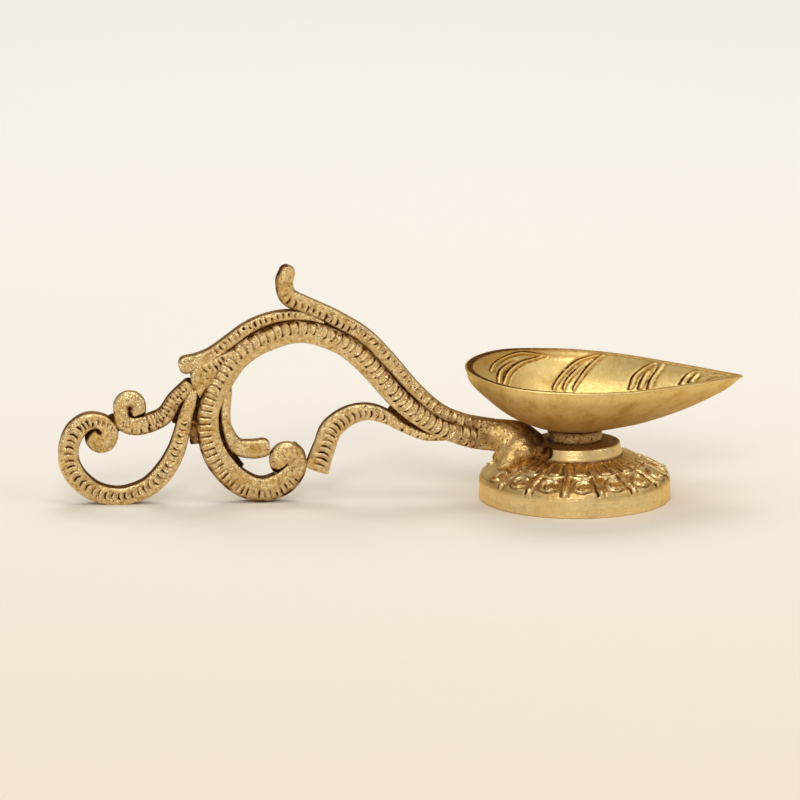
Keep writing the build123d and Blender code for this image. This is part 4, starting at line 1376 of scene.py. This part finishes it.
@dataclass
class Studio:
    """The pale table, the soft lights and the camera."""

    target: Knot = (-45.413, 0.0, 26.35)
    azimuth: float = -3.5
    elevation: float = 12.475
    distance: float = 1500.0
    lens: float = 261.1
    sensor: float = 36.0
    table_size: float = 6.0
    near_colour: Colour = (0.868, 0.765, 0.628)
    middle_colour: Colour = (0.924, 0.872, 0.788)
    far_colour: Colour = (0.958, 0.933, 0.876)
    world_colour: Colour = (0.96, 0.945, 0.915)
    horizon_light: float = 0.28
    zenith_light: float = 0.72
    lamps: tuple[SoftLamp, ...] = (
        SoftLamp("back_softbox", (-0.05, 0.74, 1.15), (-0.045, 0.0, 0.0), 0.7, 4.7),
        SoftLamp("top_softbox", (0.05, -0.30, 1.25), (-0.045, 0.0, 0.0), 0.5, 1.6),
        SoftLamp("front_softbox", (-0.30, -1.55, 0.95), (-0.04, 0.0, 0.03), 0.55, 9.0),
        SoftLamp("side_softbox", (1.1, -0.40, 0.75), (-0.04, 0.0, 0.02), 0.45, 1.8),
    )

    @staticmethod
    def stand(name: str, data: bpy.types.ID, place: Vector, towards: Vector) -> Piece:
        """Stand a light or a camera at a place in metres, with its back turned towards a direction."""
        thing = bpy.data.objects.new(name, data)
        thing.location = place
        thing.rotation_euler = towards.to_track_quat("Z", "Y").to_euler()
        bpy.context.scene.collection.objects.link(thing)
        return thing

    def camera(self) -> None:
        """Place the camera at the photograph's viewing angle."""
        data = bpy.data.cameras.new("camera")
        data.lens = self.lens
        data.sensor_width = self.sensor
        data.clip_start = 0.01
        turn, rise = math.radians(self.azimuth), math.radians(self.elevation)
        back = Vector((math.sin(turn) * math.cos(rise), -math.cos(turn) * math.cos(rise), math.sin(rise)))
        place = (Vector(self.target) + back * self.distance) * MM
        bpy.context.scene.camera = self.stand("camera", data, place, back)

    def table_material(self) -> Material:
        """Make the table's cream finish, paler towards the back."""
        material = bpy.data.materials.new("cream_table")
        material.use_nodes = True
        bench = NodeBench(material.node_tree)
        shader = bench.add("ShaderNodeBsdfDiffuse")
        bench.feed(bench.add("ShaderNodeOutputMaterial").inputs["Surface"], shader.outputs[0])
        place = bench.place()
        axes = bench.add("ShaderNodeSeparateXYZ")
        bench.feed(axes.inputs[0], place)
        tint = bench.spread(bench.cloud(place, 2.0, 2.0), 0.3, 0.7, -0.03, 0.03)
        near = bench.sum("ADD", bench.spread(axes.outputs["Y"], -0.26, 0.14), tint)
        far = bench.spread(axes.outputs["Y"], 0.14, 0.80)
        cream = bench.blend(near, self.near_colour, self.middle_colour)
        bench.feed(shader.inputs["Color"], bench.blend(far, cream, self.far_colour))
        return material

    def table(self) -> None:
        """Lay the table under the lamp."""
        bm = bmesh.new()
        bmesh.ops.create_grid(bm, x_segments=2, y_segments=2, size=self.table_size)
        mesh = bpy.data.meshes.new("table")
        bm.to_mesh(mesh)
        bm.free()
        mesh.materials.append(self.table_material())
        table = bpy.data.objects.new("table", mesh)
        bpy.context.scene.collection.objects.link(table)

    def lights(self) -> None:
        """Set the world's pale light and the soft lamps."""
        world = bpy.data.worlds.new("studio")
        world.use_nodes = True
        bpy.context.scene.world = world
        bench = NodeBench(world.node_tree)
        ground = bench.add("ShaderNodeBackground")
        axes = bench.add("ShaderNodeSeparateXYZ")
        bench.feed(axes.inputs[0], bench.add("ShaderNodeTexCoord").outputs["Generated"])
        rise = bench.spread(axes.outputs["Z"], 0.0, 1.0, self.horizon_light, self.zenith_light)
        bench.feed(ground.inputs["Color"], self.world_colour)
        bench.feed(ground.inputs["Strength"], rise)
        bench.feed(bench.add("ShaderNodeOutputWorld").inputs["Surface"], ground.outputs[0])
        for lamp in self.lamps:
            data = bpy.data.lights.new(lamp.name, "AREA")
            data.size = lamp.size
            data.energy = lamp.power
            self.stand(lamp.name, data, Vector(lamp.place), Vector(lamp.place) - Vector(lamp.aim))

    def build(self) -> None:
        """Set up the whole studio."""
        bpy.context.scene.view_settings.view_transform = "Standard"
        self.table()
        self.lights()
        self.camera()


def finishes() -> list[MetalFinish]:
    """List the lamp's finishes: strands, bowl, base, neck ring, braze and fasteners."""
    return [
        MetalFinish("cast_brass"),
        MetalFinish("satin_brass", bright=(0.93, 0.71, 0.30), body=(0.58, 0.36, 0.095), polish=0.47,
                    pits=0.12, grain=0.14, relief=0.00006, brush=(900.0, 900.0, 50.0), brush_relief=1.0),
        MetalFinish("carved_brass", bright=(1.0, 0.785, 0.395), body=(0.72, 0.43, 0.108), polish=0.34,
                    pits=0.25, grain=0.22, relief=0.00009, brush=(40.0, 40.0, 1500.0), brush_relief=1.8),
        MetalFinish("matte_brass", polish=0.44, pits=0.8),
        MetalFinish("filler_brass", bright=(1.0, 0.745, 0.335), body=(0.63, 0.365, 0.08), polish=0.44,
                    pits=0.6, mottle_scale=140.0, relief=0.00020),
        MetalFinish("dull_steel", bright=(0.62, 0.61, 0.58), body=(0.42, 0.41, 0.39), brown=(0.2, 0.15, 0.1)),
    ]


def dress_fasteners(steel: Material) -> None:
    """Give the CAD fasteners under the base their finish."""
    for name in ("bowl_stud", "plain_washer", "hex_nut"):
        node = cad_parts[name]
        node.data.materials.clear()
        node.data.materials.append(steel)


def main() -> None:
    """Build the lamp and its studio."""
    logging.basicConfig(level=logging.INFO, format="%(name)s: %(message)s")
    tarnish = TarnishGroup()
    cast, satin, carved, matte, filler, steel = (finish.material(tarnish) for finish in finishes())
    ScrollHandle(strands=handle_strands()).build(cast)
    LeafBowl().build(satin)
    LotusBase().build(carved)
    NeckRing().build(matte)
    BrazeLump().build(filler)
    dress_fasteners(steel)
    Studio().build()


if __name__ == "__main__":
    main()
